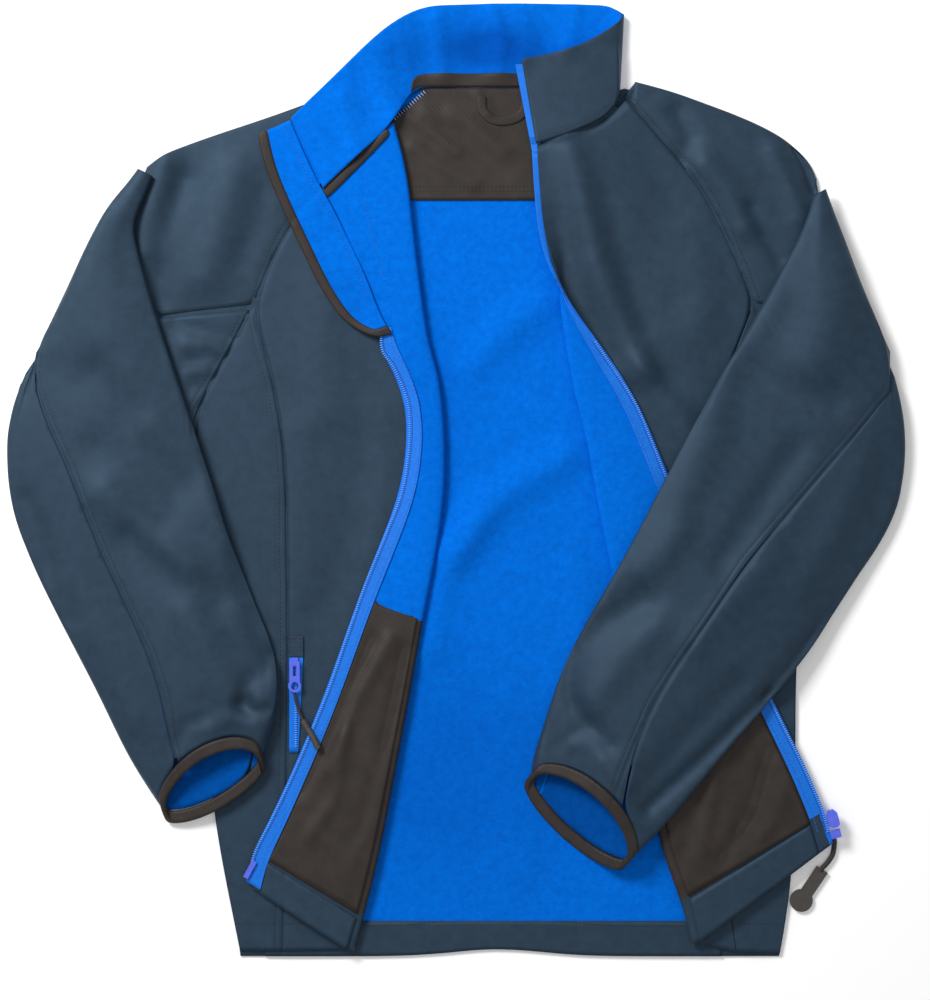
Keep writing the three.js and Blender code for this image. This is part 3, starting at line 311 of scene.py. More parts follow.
def with_painted_shade(tree, place, tone, painted_shade_tone):
    """A colour with a darker tone painted over it as shade in each patch of painted shade."""
    for x, y, half_x, half_y, share in PAINTED_SHADE_PATCHES:
        scale = (1 / (half_x * MM), 1 / (half_y * MM), 0)
        middle = (-x * MM * scale[0], -y * MM * scale[1], 0)
        moved = add_node(tree, "Mapping", {"Location": middle, "Scale": scale}, {"Vector": place})
        spot = add_node(tree, "TexGradient", {"gradient_type": "QUADRATIC_SPHERE"},
                        {"Vector": moved.outputs["Vector"]})
        reach = add_node(tree, "MapRange", {"From Max": 0.55, "To Max": share},
                         {"Value": spot.outputs["Fac"]})
        links = {"Fac": reach.outputs["Result"], "Color1": tone}
        tone = add_node(tree, "MixRGB", {"Color2": painted_shade_tone}, links).outputs["Color"]
    return tone


def surface_finish(name, tones, grain, settings, painted_shade_tone=None):
    """A material of two tones in patches, a raised grain and settings of its shader, with painted
    shade of a darker tone where that tone is given.
    """
    if name in bpy.data.materials:
        return bpy.data.materials[name]
    material = bpy.data.materials.new(name)
    material.use_nodes = True
    tree = material.node_tree
    tree.nodes.clear()
    place = add_node(tree, "TexCoord").outputs["Object"]
    links = {"Base Color": mottled(tree, place, *tones)}
    # Painted shade: the darker tone laid over the colour in its patches.
    if painted_shade_tone:
        links["Base Color"] = with_painted_shade(tree, place, links["Base Color"], painted_shade_tone)
    if grain:
        links["Normal"] = raised(tree, place, *grain)
    shader = add_node(tree, "BsdfPrincipled", {"IOR": 1.5, **settings}, links)
    add_node(tree, "OutputMaterial", links={"Surface": shader.outputs["BSDF"]})
    return material


def softshell_face():
    """Bonded polyester softshell: a close flat weave that eats light and has a dull sheen."""
    # The weave is 0.3 mm fine in the cloth and is drawn at 0.8 mm so that it shows.
    weave = {"Scale": 1 / (0.8 * MM), "Detail": 2.0}
    return surface_finish(
        "softshell_face", (colours().navy, colours().navy_light, 9, 1.2),
        ("TexNoise", weave, 0.25, 0.25),
        {"Roughness": 0.62, "Specular IOR Level": 0.5, "Sheen Weight": 0.05,
         "Specular Tint": rgba(linear("#B9DCFF")), "Sheen Roughness": 0.45,
         "Sheen Tint": rgba(linear("#9FB6C8"))},
    )


def fleece_inside(name="fleece_inside", shade=1.0):
    """Brushed polyester fleece: short matted pile that glows at its tips."""
    # A shade below 1 darkens the whole fleece as painted shade.
    dark, light = ([v * shade for v in c] for c in (colours().fleece, colours().fleece_light))
    pile = {"Scale": 1 / (2.2 * MM), "Detail": 5.0, "Roughness": 0.7}
    return surface_finish(
        name, (dark, light, 6, 1.3), ("TexNoise", pile, 0.6, 0.9),
        {"Roughness": 0.95, "Specular IOR Level": 0.05, "Sheen Weight": 0.03,
         "Sheen Roughness": 0.6, "Sheen Tint": rgba(linear("#2F8CFF"))},
        # The darker tone of the painted shade in the fleece's patches.
        rgba([dark[0], dark[1] * 0.42, dark[2] * 0.55]),
    )


def woven_lining():
    """Polyester twill lining: thin, slightly shiny, with a fine diagonal rib."""
    # The twill's rib is 0.4 mm and is drawn at about 2.7 mm so that it shows.
    rib = {"Scale": 1 / (6 * MM), "Distortion": 1.2, "Detail": 2.0, "bands_direction": "DIAGONAL"}
    return surface_finish(
        "woven_lining", (colours().lining, colours().lining_light, 14),
        ("TexWave", rib, 0.35, 0.2),
        {"Roughness": 0.58, "Specular IOR Level": 0.3, "Sheen Weight": 0.03,
         "Sheen Roughness": 0.4},
    )


def zip_tape_weave():
    """Woven polyester zip tape: tight ribs, drawn as a grain of their width, a little shiny."""
    weave = {"Scale": 1 / (0.9 * MM), "Detail": 1.0}
    return surface_finish(
        "zip_tape_weave", (colours().zip_tape, linear("#0F72DA"), 3),
        ("TexNoise", weave, 0.4, 0.25),
        {"Roughness": 0.65, "Specular IOR Level": 0.25, "Sheen Weight": 0.02},
    )


def plain_finish(name, value, roughness, metallic=0.0, grain_mm=0.6, depth_mm=0.04):
    """A moulded, painted or spun surface with a faint grain of the given size."""
    light = tuple(min(1, v * 1.25 + 0.004) for v in value)
    grain = {"Scale": 1 / (grain_mm * MM), "Detail": 2.0}
    return surface_finish(
        name, (value, light, 5), ("TexNoise", grain, 0.4, depth_mm),
        {"Roughness": roughness, "Metallic": metallic},
    )


# The small parts' surfaces: the colour, the roughness and, where they aren't the usual ones, how
# metallic it is, and the grain's size and depth in millimetres.
SMALL_PARTS = {
    # Die-cast zinc under blue enamel: smooth, with small bright highlights.
    "painted_zinc": ("metal", 0.32, 0.15),
    # Moulded nylon in the same blue: satin, with wider and duller highlights.
    "moulded_nylon": ("metal", 0.45),
    # Moulded thermoplastic rubber: dull, with a fine grain.
    "moulded_rubber": ("rubber", 0.6),
    # Braided polyester: dull, with a coarse grain where the strands cross.
    "braided_cord": ("cord", 0.75, 0.0, 1.1, 0.25),
    # Nylon monofilament coil: smooth and a little glossy.
    "coil_teeth": ("zip_teeth", 0.4),
}
# Spun polyester threads, round and slightly glossy: the colour that each takes, how much of its
# light is left between the stitches, and the slot.
THREAD_ROUGHNESS = 0.55
THREADS = {
    "navy": ("navy", 0.3, "navy"),
    "brown": ("lining", 0.35, "lining"),
    "blue": ("fleece", 0.55, "fleece"),
    "pale": ("overlock", 1.0, "zip_tape"),
    # A dark cord of painted shadow: its stitches run together into the shadow line between the coil
    # and the tape.
    "gutter": ("zip_tape", 0.4, "zip_tape"),
    "tape": ("zip_tape", 0.75, "zip_tape"),
}


def small_part(name):
    """The material of a small part."""
    tone, *surface = SMALL_PARTS[name]
    return plain_finish(name, getattr(colours(), tone), *surface)


def new_object(name, mesh):
    made = bpy.data.objects.new(name, mesh)
    bpy.context.scene.collection.objects.link(made)
    return made


# The cloth's sides meet where its faces turn by more than this.
RIM_ANGLE = math.radians(58)
# Triangles that turn by less than this are joined.
JOIN_ANGLE = math.radians(40)
# Rays look down from this height, in metres, which is above the whole jacket.
ABOVE = 0.2
DOWN = Vector((0, 0, -1))


def is_rim(edge):
    """Whether a side of the cloth ends at this edge."""
    return len(edge.link_faces) != 2 or edge.calc_face_angle() > RIM_ANGLE


def sides_of(bm):
    """The faces of each side of the cloth, the largest side first."""
    found = set()
    groups = []
    for first in bm.faces:
        if first in found:
            continue
        group = []
        wait = [first]
        found.add(first)
        while wait:
            face = wait.pop()
            group.append(face)
            for edge in face.edges:
                if is_rim(edge):
                    continue
                for other in edge.link_faces:
                    if other not in found:
                        found.add(other)
                        wait.append(other)
        groups.append(group)
    return sorted(groups, key=lambda g: -sum(f.calc_area() for f in g))


def dress(name, materials, levels, fold_set, probe=None, crease=1.0):
    """Makes the cloth of a CAD node: its own form, refined and softened, with one material on
    the side that shows from above at the probe, another on the far side and one at the edge."""
    bm = bmesh.new()
    bm.from_mesh(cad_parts[name].data)
    bmesh.ops.remove_doubles(bm, verts=bm.verts, dist=1e-6)
    bm.faces.ensure_lookup_table()
    groups = sides_of(bm)
    if probe:
        start = Vector((probe[0] * MM, probe[1] * MM, ABOVE))
        face = BVHTree.FromBMesh(bm).ray_cast(start, DOWN)[2]
        if face is None:
            raise RuntimeError(f"the probe misses {name}")
        seen = bm.faces[face]
    else:
        seen = max(bm.faces, key=lambda f: f.calc_center_median().z * (f.normal.z > 0.5))
    for index, group in enumerate(groups):
        slot = EDGE if index > 1 else FAR
        if seen in group:
            slot = SHOWN
        for face in group:
            face.material_index = slot
    creases = bm.edges.layers.float.new("crease_edge")
    for rim in bm.edges:
        if len(rim.link_faces) == 2 and is_rim(rim):
            rim[creases] = crease
    bmesh.ops.join_triangles(
        bm, faces=bm.faces, angle_face_threshold=JOIN_ANGLE, angle_shape_threshold=math.pi,
        cmp_materials=True,
    )
    mesh = bpy.data.meshes.new(name + "_cloth")
    bm.to_mesh(mesh)
    bm.free()
    made = new_object(name + "_cloth", mesh)
    for material in (*materials, woven_lining(), softshell_face()):
        mesh.materials.append(material)
    refine = made.modifiers.new("Refine", "SUBSURF")
    refine.levels = refine.render_levels = levels
    graph = bpy.context.evaluated_depsgraph_get()
    fine = bpy.data.meshes.new_from_object(made.evaluated_get(graph))
    made.modifiers.clear()
    made.data = fine
    soften(fine, fold_set)
    if name in REGIONS:
        repaint(fine, name)
    for polygon in fine.polygons:
        polygon.use_smooth = True
    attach(made, "garment")
    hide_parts(name)
    return made


# The cloths of each group: the kind, how often it is refined, its set of folds, the probe in
# millimetres where it shows, its cut's width and length in metres and area, and how it lies.
CLOTHS = {
    "body": {
        "back": ("inside", 3, "back", (40, -100), (0.54, 0.75), 0.334, "laid"),
        "hem_back": ("edge", 3, "back", None, (0.44, 0.03), 0.0112, "laid"),
        "back_yoke_lining": ("lining", 3, "yoke", None, (0.31, 0.095), 0.0225, "laid"),
        "front_right": ("inside", 3, "front_right", (-60, -100), (0.21, 0.73), 0.114, "folded"),
        "front_left": ("inside", 3, "chest", (180, -60), (0.21, 0.74), 0.113, "folded"),
        "side_right": ("outside", 3, "plain", (-180, -100), (0.085, 0.56), 0.034, "laid"),
        "side_left": ("outside", 3, "plain", (250, -100), (0.09, 0.56), 0.035, "laid"),
        "hem_front_right": ("edge", 3, "front_right", None, (0.1, 0.035), 0.0022, "laid"),
        "hem_front_left": ("edge", 3, "plain", None, (0.13, 0.042), 0.0035, "laid"),
        "pocket_bag_right": ("lining", 3, "bags", None, (0.12, 0.28), 0.015, "laid"),
        "pocket_bag_left": ("lining", 3, "bags", None, (0.14, 0.3), 0.023, "laid"),
        "pocket_welt": ("edge", 5, "plain", None, (0.012, 0.018), 0.0002, "laid"),
    },
    "sleeves": {
        "sleeve_right_cap": ("outside", 3, "cap_right", (-160, 250), (0.34, 0.25), 0.048, "folded"),
        "sleeve_right_underarm": (
            "outside", 3, "underarm_right", (-215, 110), (0.1, 0.1), 0.0058, "laid"),
        "sleeve_right_front": (
            "outside", 3, "sleeve_right", (-230, 0), (0.18, 0.56), 0.058, "folded"),
        "sleeve_right_back": (
            "outside", 3, "sleeve_right", (-340, -90), (0.22, 0.57), 0.079, "folded"),
        "sleeve_left_cap": ("outside", 3, "cap_left", (220, 280), (0.3, 0.24), 0.033, "folded"),
        "sleeve_left_underarm": ("outside", 2, "plain", (300, 100), (0.08, 0.1), 0.0038, "laid"),
        "sleeve_left_front": ("outside", 3, "sleeve_left", (200, 20), (0.2, 0.57), 0.064, "folded"),
        "sleeve_left_back": (
            "outside", 3, "sleeve_left", (300, -100), (0.26, 0.61), 0.106, "folded"),
    },
    "collar": {
        "collar_outer": ("outside", 3, "collar", (90, 330), (0.078, 0.42), 0.025, "folded"),
        "collar_inner": ("fleece", 3, "collar", None, (0.078, 0.42), 0.025, "folded"),
        "chin_guard": ("fleece", 3, "plain", None, (0.042, 0.21), 0.0054, "laid"),
    },
    "zips": {
        "zip_tape_right": ("tape", 3, "front_right", None, (0.014, 0.5), 0.0067, "laid"),
        "zip_tape_left": ("tape", 3, "chest", None, (0.014, 0.66), 0.0072, "laid"),
        "pocket_zip_tape": ("tape", 4, "plain", None, (0.0125, 0.082), 0.0008, "laid"),
    },
}
# Narrow strips of lining that belong to one of the cloths: which, how often they are refined,
# their folds and how far they swell past their solid, in millimetres.
STRIPS = {
    "neck_tape_front": ("front_right", 2, "front_right", 0.7),
    "neck_tape_back": ("collar_inner", 2, "collar", 0.4),
    "hanger_loop": ("back_yoke_lining", 2, "yoke", 0.2),
    "chin_guard_binding": ("chin_guard", 3, "plain", 0.9),
    "cuff_binding_right": ("sleeve_right_back", 3, "plain", 1.5),
    "cuff_binding_left": ("sleeve_left_back", 3, "plain", 1.5),
}
# How sharp the rims of a swollen piece stay, from 0 to 1.
SOFT_RIM = 0.35


# A cloth's material slots: the side that shows, the far side, the edge, lining and softshell.
SHOWN, FAR, EDGE, LINED, SHELL = range(5)
# Where a cloth shows another one to the right of a line, in millimetres: the pocket bags'
# lining that goes on round the roll, the turned-up hems, and the shell at the seams. Each row
# has x and y of the line's two points, the side that it repaints and the slot that it gives.
REGIONS = {
    "back": [(-200, -379, 300, -379, SHOWN, FAR), (200, 200, 100, 345, SHOWN, SHELL)],
    "back_yoke_lining": [(110, 200, 110, 360, SHOWN, SHELL)],
    "front_right": [(-83, -104, -29, -120, SHOWN, LINED), (-173, -315, -80, -371, SHOWN, FAR)],
    "front_left": [(134, -85, 217, -80, SHOWN, LINED), (191, -356, 313, -283, SHOWN, FAR)],
    "zip_tape_left": [
        (191, -354, 307.5, -284, FAR, SHELL), (317.5, -312, 307.5, -282, FAR, FAR)],
    "sleeve_left_cap": [(175, 360, 175, 200, FAR, SHELL), (280, 200, 280, 360, FAR, SHELL)],
    "sleeve_right_front": [
        (-340, 360, -340, -200, FAR, SHELL), (0, 180, -300, 180, FAR, SHELL)],
    "sleeve_left_front": [(300, 180, 0, 180, FAR, SHELL)],
    "sleeve_right_cap": [(-70, 200, -70, 360, FAR, SHELL)],
    "collar_inner": [
        (60, 290, 140, 326, SHOWN, SHELL), (60, 290, 140, 326, FAR, SHELL),
        (60, 400, 60, 200, SHOWN, SHOWN), (60, 400, 60, 200, FAR, FAR)],
}


def repaint(mesh, name):
    """Gives the faces of a cloth the slot of each of its regions."""
    x, y, _ = three_columns(mesh.polygons, "center").T / MM
    slots = np.empty(len(mesh.polygons), dtype=np.int32)
    mesh.polygons.foreach_get("material_index", slots)
    far_side = slots == FAR
    for x1, y1, x2, y2, repainted, slot in REGIONS[name]:
        side = far_side if repainted == FAR else ~far_side
        slots[side & ((x2 - x1) * (y - y1) < (y2 - y1) * (x - x1))] = slot
    mesh.polygons.foreach_set("material_index", slots)


def finishes():
    """The slot of each kind of cloth and its materials where it shows, beyond and at the edge."""
    navy, fleece = softshell_face(), fleece_inside()
    lining, tape = woven_lining(), zip_tape_weave()
    # In the sleeves the fleece is painted at half its brightness, as painted shade for the shade
    # inside the tube.
    sleeve_shade_fleece = fleece_inside("fleece_in_sleeve", 0.5)
    return {
        "inside": ("navy", fleece, navy, navy),
        "outside": ("navy", navy, sleeve_shade_fleece, navy),
        "fleece": ("fleece", fleece, fleece, fleece),
        "edge": ("navy", navy, navy, navy),
        "lining": ("lining", lining, lining, lining),
        "tape": ("zip_tape", tape, tape, tape),
    }


def swell(mesh, amount):
    """Moves each vertex outward along its normal by an amount in millimetres."""
    places = three_columns(mesh.vertices, "co")
    places += three_columns(mesh.vertex_normals, "vector") * amount * MM
    places[:, 2] = np.maximum(places[:, 2], 0)
    mesh.vertices.foreach_set("co", places.ravel())
    mesh.update()


def make_cloths(group):
    kinds = finishes()
    for name, (kind, levels, fold_set, probe, flat, area, held) in CLOTHS[group].items():
        slot, *materials = kinds[kind]
        made = dress(name, materials, levels, fold_set, probe)
        for strip, (owner, strip_levels, strip_folds, swelling) in STRIPS.items():
            if owner == name:
                slot, *materials = kinds["lining"]
                piece = dress(strip, materials, strip_levels, strip_folds, crease=SOFT_RIM)
                swell(piece.data, swelling)


# A smooth curve's steps from one of its given points to the next.
CURVE_STEPS = 24


def smooth_line(points, step):
    """A smooth curve through points in millimetres, as points a step apart."""
    corners = [Vector(p) for p in points]
    corners = [corners[0] * 2 - corners[1], *corners, corners[-1] * 2 - corners[-2]]
    dense = []
    for a, b, c, d in zip(corners, corners[1:], corners[2:], corners[3:]):
        for k in range(CURVE_STEPS):
            t = k / CURVE_STEPS
            dense.append(0.5 * (2 * b + (c - a) * t + (2 * a - 5 * b + 4 * c - d) * t * t
                                + (3 * b - a - 3 * c + d) * t ** 3))
    dense.append(corners[-2])
    result = [dense[0]]
    left = step
    for start, end in zip(dense, dense[1:]):
        span = (end - start).length
        while span > 0 and left <= span:
            start = start.lerp(end, left / span)
            result.append(start)
            span = (end - start).length
            left = step
        left -= span
    return result


def surface_of(names):
    """A finder of the highest place of the named cloths over a point in millimetres."""
    trees = []
    for name in names:
        data = bpy.data.objects[name + "_cloth"].data
        places = [v.co for v in data.vertices]
        trees.append(BVHTree.FromPolygons(places, [tuple(p.vertices) for p in data.polygons]))

    def highest(x, y):
        best = None
        for tree in trees:
            hit = tree.ray_cast(Vector((x * MM, y * MM, ABOVE)), DOWN)
            if hit[0] is not None and (best is None or hit[0].z > best[0].z):
                best = hit
        return best
    return highest


# A bead's rings: how far along it each lies, from -1 to 1, and its share of the full width.
BEAD_RINGS = ((-0.75, 0.7), (0, 1.0), (0.75, 0.7))
BEAD_SIDES = 6
# No bead lies where the surface's normal rises less than this, from 0 to 1.
STEEPEST = 0.25


def bead(vertices, faces, middle, ahead, up, half_length, half_width, half_height):
    """Adds a small bead with pointed ends along ahead."""
    side = ahead.cross(up).normalized()
    up = side.cross(ahead).normalized()
    first = len(vertices)
    vertices.append(middle - ahead * half_length)
    for along, share in BEAD_RINGS:
        for k in range(BEAD_SIDES):
            turn = math.tau * k / BEAD_SIDES
            offset = side * math.cos(turn) * half_width + up * math.sin(turn) * half_height
            vertices.append(middle + ahead * along * half_length + offset * share)
    last = len(vertices)
    vertices.append(middle + ahead * half_length)
    rings = range(first + 1, last, BEAD_SIDES)
    for k in range(BEAD_SIDES):
        n = (k + 1) % BEAD_SIDES
        faces.append((first, rings[0] + n, rings[0] + k))
        faces.append((last, rings[-1] + k, rings[-1] + n))
        for a, b in zip(rings, rings[1:]):
            faces.append((a + k, a + n, b + n, b + k))


def bead_run(line, surface, pitch, half_sizes, across=False, lift=0.0):
    """Beads along a line in millimetres, laid on a surface. Across turns each bead sideways."""
    vertices, faces = [], []
    places = smooth_line([(x, y, 0) for x, y in line], pitch / MM)
    for here, after in zip(places, places[1:]):
        hit = surface(here.x, here.y)
        if hit is None or hit[1].z < STEEPEST:
            continue
        place, up = hit[:2]
        ahead = (after - here).normalized()
        ahead = (ahead - up * ahead.dot(up)).normalized()
        if across:
            ahead = ahead.cross(up).normalized()
        bead(vertices, faces, place + up * lift, ahead, up, *half_sizes)
    return vertices, faces


def strip(vertices, faces, rows, thickness):
    """Adds a closed strip through rows of a left and a right corner."""
    first = len(vertices)
    down = Vector((0, 0, -thickness))
    for left, right in rows:
        vertices += [left, right, right + down, left + down]
    for k in range(len(rows) - 1):
        a = first + 4 * k
        for j in range(4):
            n = (j + 1) % 4
            faces.append((a + j, a + n, a + 4 + n, a + 4 + j))
    last = first + 4 * (len(rows) - 1)
    faces += [(first + 3, first + 2, first + 1, first), (last, last + 1, last + 2, last + 3)]


def heading(points, k):
    """Where a line through points heads at one of them."""
    return (points[min(k + 1, len(points) - 1)] - points[max(k - 1, 0)]).normalized()


# Seam allowances in millimetres: the step along the seam, how far to each side the cloth is
# looked for, half the strip's width, how deep it lies and how thick it is.
ALLOWANCE_STEP = 4
ALLOWANCE_REACH = 5
ALLOWANCE_HALF_WIDTH = 4.5
ALLOWANCE_DEPTH = 0.5
ALLOWANCE_THICKNESS = 0.3
# The corners of a patch where seams meet.
PATCH_SIDES = 12


def allowance(vertices, faces, line, surface):
    """Adds a turned-in strip of cloth just below the surface along a seam."""
    places = smooth_line([(x, y, 0) for x, y in line], ALLOWANCE_STEP)
    rows = []
    for k, here in enumerate(places):
        ahead = heading(places, k)
        across = Vector((-ahead.y, ahead.x, 0))
        beyond = [here + across * side * ALLOWANCE_REACH for side in (-1, 1)]
        hits = [surface(place.x, place.y) for place in beyond]
        if None in hits:
            continue
        z = min(hit[0].z for hit in hits) - ALLOWANCE_DEPTH * MM
        edges = [here + across * side * ALLOWANCE_HALF_WIDTH for side in (-1, 1)]
        rows.append([Vector((place.x * MM, place.y * MM, z)) for place in edges])
    if rows:
        strip(vertices, faces, rows, ALLOWANCE_THICKNESS * MM)


def patch(vertices, faces, x, y, radius, surface):
    """Adds a round of cloth just below the surface where seams meet, in millimetres."""
    turns = [math.tau * k / PATCH_SIDES for k in range(PATCH_SIDES)]
    places = [(x + radius * math.cos(turn), y + radius * math.sin(turn)) for turn in turns]
    hits = [surface(*place) for place in places]
    z = min(hit[0].z for hit in hits if hit) - ALLOWANCE_DEPTH * MM
    top = len(vertices)
    low = top + PATCH_SIDES
    end = low + PATCH_SIDES
    for height in (z, z - ALLOWANCE_THICKNESS * MM):
        vertices += [Vector((px * MM, py * MM, height)) for px, py in places]
    faces += [tuple(range(top, low)), tuple(range(end - 1, low - 1, -1))]
    for k in range(PATCH_SIDES):
        n = (k + 1) % PATCH_SIDES
        faces.append((top + k, low + k, low + n, top + n))


def sewn_piece(name, vertices, faces, material, smooth=False):
    """Makes a piece of the garment from points and faces."""
    if not faces:
        raise RuntimeError(f"{name} has no faces")
    mesh = bpy.data.meshes.new(name)
    mesh.from_pydata(vertices, [], faces)
    mesh.materials.append(material)
    for polygon in mesh.polygons:
        polygon.use_smooth = smooth
    made = new_object(name, mesh)
    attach(made, "garment")


def joined_beads(name, runs, material):
    """Makes one piece of runs of beads."""
    vertices, faces = [], []
    for more_vertices, more_faces in runs:
        first = len(vertices)
        vertices += more_vertices
        faces += [tuple(k + first for k in face) for face in more_faces]
    sewn_piece(name, vertices, faces, material, smooth=True)


def finish_part(name, material, edge_mm):
    """Gives a CAD part its material and rounds its edges."""
    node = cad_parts[name]
    node.data.materials.clear()
    node.data.materials.append(small_part(material))
    soft_edge = node.modifiers.new("Soft edge", "BEVEL")
    soft_edge.width = edge_mm * MM
    soft_edge.segments = 3


# Seams in millimetres: where each runs, how far to its left the topstitch runs, negative to
# its right, and the pieces that carry that topstitch.
SEAMS = {
    "raglan_right": (-5, ["sleeve_right_cap"], [
        (-62, 298), (-78, 283), (-101, 261), (-135, 229), (-157, 190), (-173, 148)]),
    "princess_right": (-6.5, ["side_right"], [
        (-174, 149), (-166, 117), (-156, 82), (-148, 34), (-145, -13), (-145, -55), (-144, -98),
        (-144, -179), (-145, -268), (-147, -322), (-149, -401)]),
    "underarm_right": (-5, ["sleeve_right_underarm"], [
        (-174, 149), (-184, 130), (-194, 111), (-209, 84), (-225.5, 56), (-224.5, 40)]),
    "shoulder_right": (-5, ["sleeve_right_cap"], [
        (-173, 148), (-184, 146.5), (-200, 145), (-230, 141.5), (-262, 138)]),
    "elbow_right": (5, ["sleeve_right_front"], [
        (-359, 109), (-358, 79), (-345, 44), (-330, 12), (-316, -24), (-300, -62), (-281, -104),
        (-262, -143), (-248, -185), (-241, -230), (-231, -262)]),
    "raglan_left": (5, ["sleeve_left_cap"], [
        (147, 321), (188, 274), (207, 251), (222, 225), (234, 200), (245, 174), (253, 151)]),
    "underarm_left": (5, ["sleeve_left_underarm"], [(254, 149), (272, 115), (302, 54)]),
    "elbow_left": (-5, ["sleeve_left_front"], [
        (367, 75), (339, 41), (306, 3), (276, -32), (244, -69), (218, -108), (191, -147),
        (166, -186), (147, -229), (132, -268), (124, -292)]),
    "collar_left": (4, ["collar_outer"], [
        (67, 286), (88, 292), (105, 299), (122, 306), (137, 320)]),
}
# Where three or more seams meet: the place and a radius, in millimetres.
SEAM_MEETINGS = [(-172, 149, 8), (253.5, 150, 7), (143, 325, 9), (-223, 40, 7)]
# Seams on the inside: the strip below each, its cloth, the pieces that meet there and the line
# in millimetres.
INNER_SEAMS = [
    ("fleece_seam_strip", "fleece", ["collar_inner", "chin_guard"], [
        (-141, 306), (-127, 276), (-113, 248)]),
    ("fleece_neck_strip", "fleece", ["back", "collar_inner"], [
        (-50, 317), (-42, 326), (-27, 334)]),
    ("lining_neck_strip", "lining", ["back_yoke_lining", "neck_tape_back"], [
        (-40, 331), (-20, 335.5), (20, 335.5), (60, 335.5)]),
]
# More topstitching in millimetres: the thread, the pieces that it lies on and its line.
TOPSTITCHES = [
    ("navy", ["front_right"], [(-147, -378), (-120, -378), (-92, -378)]),
    ("navy", ["side_right"], [(-190, -378), (-170, -378), (-151, -378)]),
    ("navy", ["hem_front_right"], [(-86, -372), (-120, -350), (-160, -325)]),
    ("navy", ["hem_front_left"], [(200, -352), (250, -322), (300, -294)]),
    ("navy", ["side_left"], [(242, -378), (262, -378), (278, -378)]),
    ("navy", ["hem_back"], [(-160, -380), (-60, -380), (35, -373), (140, -380), (250, -380)]),
    ("navy", ["pocket_welt"], [(-142, -135), (-132, -135)]),
    ("navy", ["pocket_welt"], [(-141.6, -135), (-141.6, -149)]),
    ("navy", ["pocket_welt"], [(-133, -135), (-133, -149)]),
    ("brown", ["back_yoke_lining"], [(-100, 250), (0, 250), (90, 250), (190, 250)]),
    ("brown", ["back_yoke_lining"], [(-100, 246), (0, 246), (90, 246), (190, 246)]),
    ("blue", ["front_right"], [(-78, 236), (-70, 200), (-60, 165)]),
    ("blue", ["chin_guard"], [(-146, 300), (-136, 277), (-124, 252), (-112, 232), (-101, 211),
                              (-91, 190), (-82, 171), (-74, 152)]),
]


def beside(line, offset):
    """A line in millimetres moved to its left by an offset."""
    points = [Vector(p) for p in line]
    moved = []
    for k, point in enumerate(points):
        ahead = heading(points, k)
        moved.append((point.x - ahead.y * offset, point.y + ahead.x * offset))
    return moved


# The outer edges of the zip tapes: to which side of its line each tape lies, 1 for the left,
# and the line in millimetres.
ZIP_EDGES = {
    "zip_tape_right": (1, [
        (-66, 126), (-64.5, 109), (-54, 93), (-43, 64), (-42, 30), (-48, -9), (-61, -44),
        (-79, -88), (-94, -130), (-110, -176), (-127, -218), (-145, -259), (-160, -290),
        (-173, -316), (-178, -336)]),
    "zip_tape_left": (-1, [
        (119, 118), (136, 93), (154, 64), (167, 34), (185, -10), (206, -55), (228, -105),
        (251, -153), (275, -201), (295, -241), (307, -268), (313, -283), (318, -302)]),
}
POCKET_COIL = [(-137, -160), (-137, -190), (-137, -230)]
# The coil in millimetres: how far in from the tape's edge it runs, its wire's thickness, its
# height and how far its middle lies above the tape.
COIL_INSET = 1.4
COIL_THICKNESS = 1.24
COIL_HEIGHT = 2.2
COIL_LIFT = 0.3
# The collar's free edge, along which the left zip tape goes on up, in millimetres.
COLLAR_ZIP = [(70.4, 279), (56, 353)]
COLLAR_ZIP_STEPS = 12
# That tape in millimetres: how far it lies outside and inside the edge, how far in the collar's
# height is taken, how deep below it the tape lies, how far it falls outwards, and its thickness.
COLLAR_ZIP_OUTSIDE = 6.5
COLLAR_ZIP_INSIDE = 2
COLLAR_ZIP_PROBE = 6
COLLAR_ZIP_DEPTH = 1.2
COLLAR_ZIP_FALL = 1.5
COLLAR_ZIP_THICKNESS = 0.8
# Lines along a zip: how far in from its edge each runs in millimetres, its thread, and the length
# of a stitch as a share of the stitches' pitch. The first is a painted shadow, a dark cord whose
# stitches run together, that stands for the shadow line between the coil and the tape.
ZIP_TAPE_LINES = [(3.5, "gutter", 1.15), (10.5, "tape", 0.75)]
# The overlocked seam beside the yoke, in millimetres, and where along it each thread starts.
OVERLOCK = [(-54, 307.5), (-24, 334)]
OVERLOCK_WIDTH = 4
OVERLOCK_PITCH = 2.6
OVERLOCK_STARTS = {"navy": 0, "pale": 0.03}


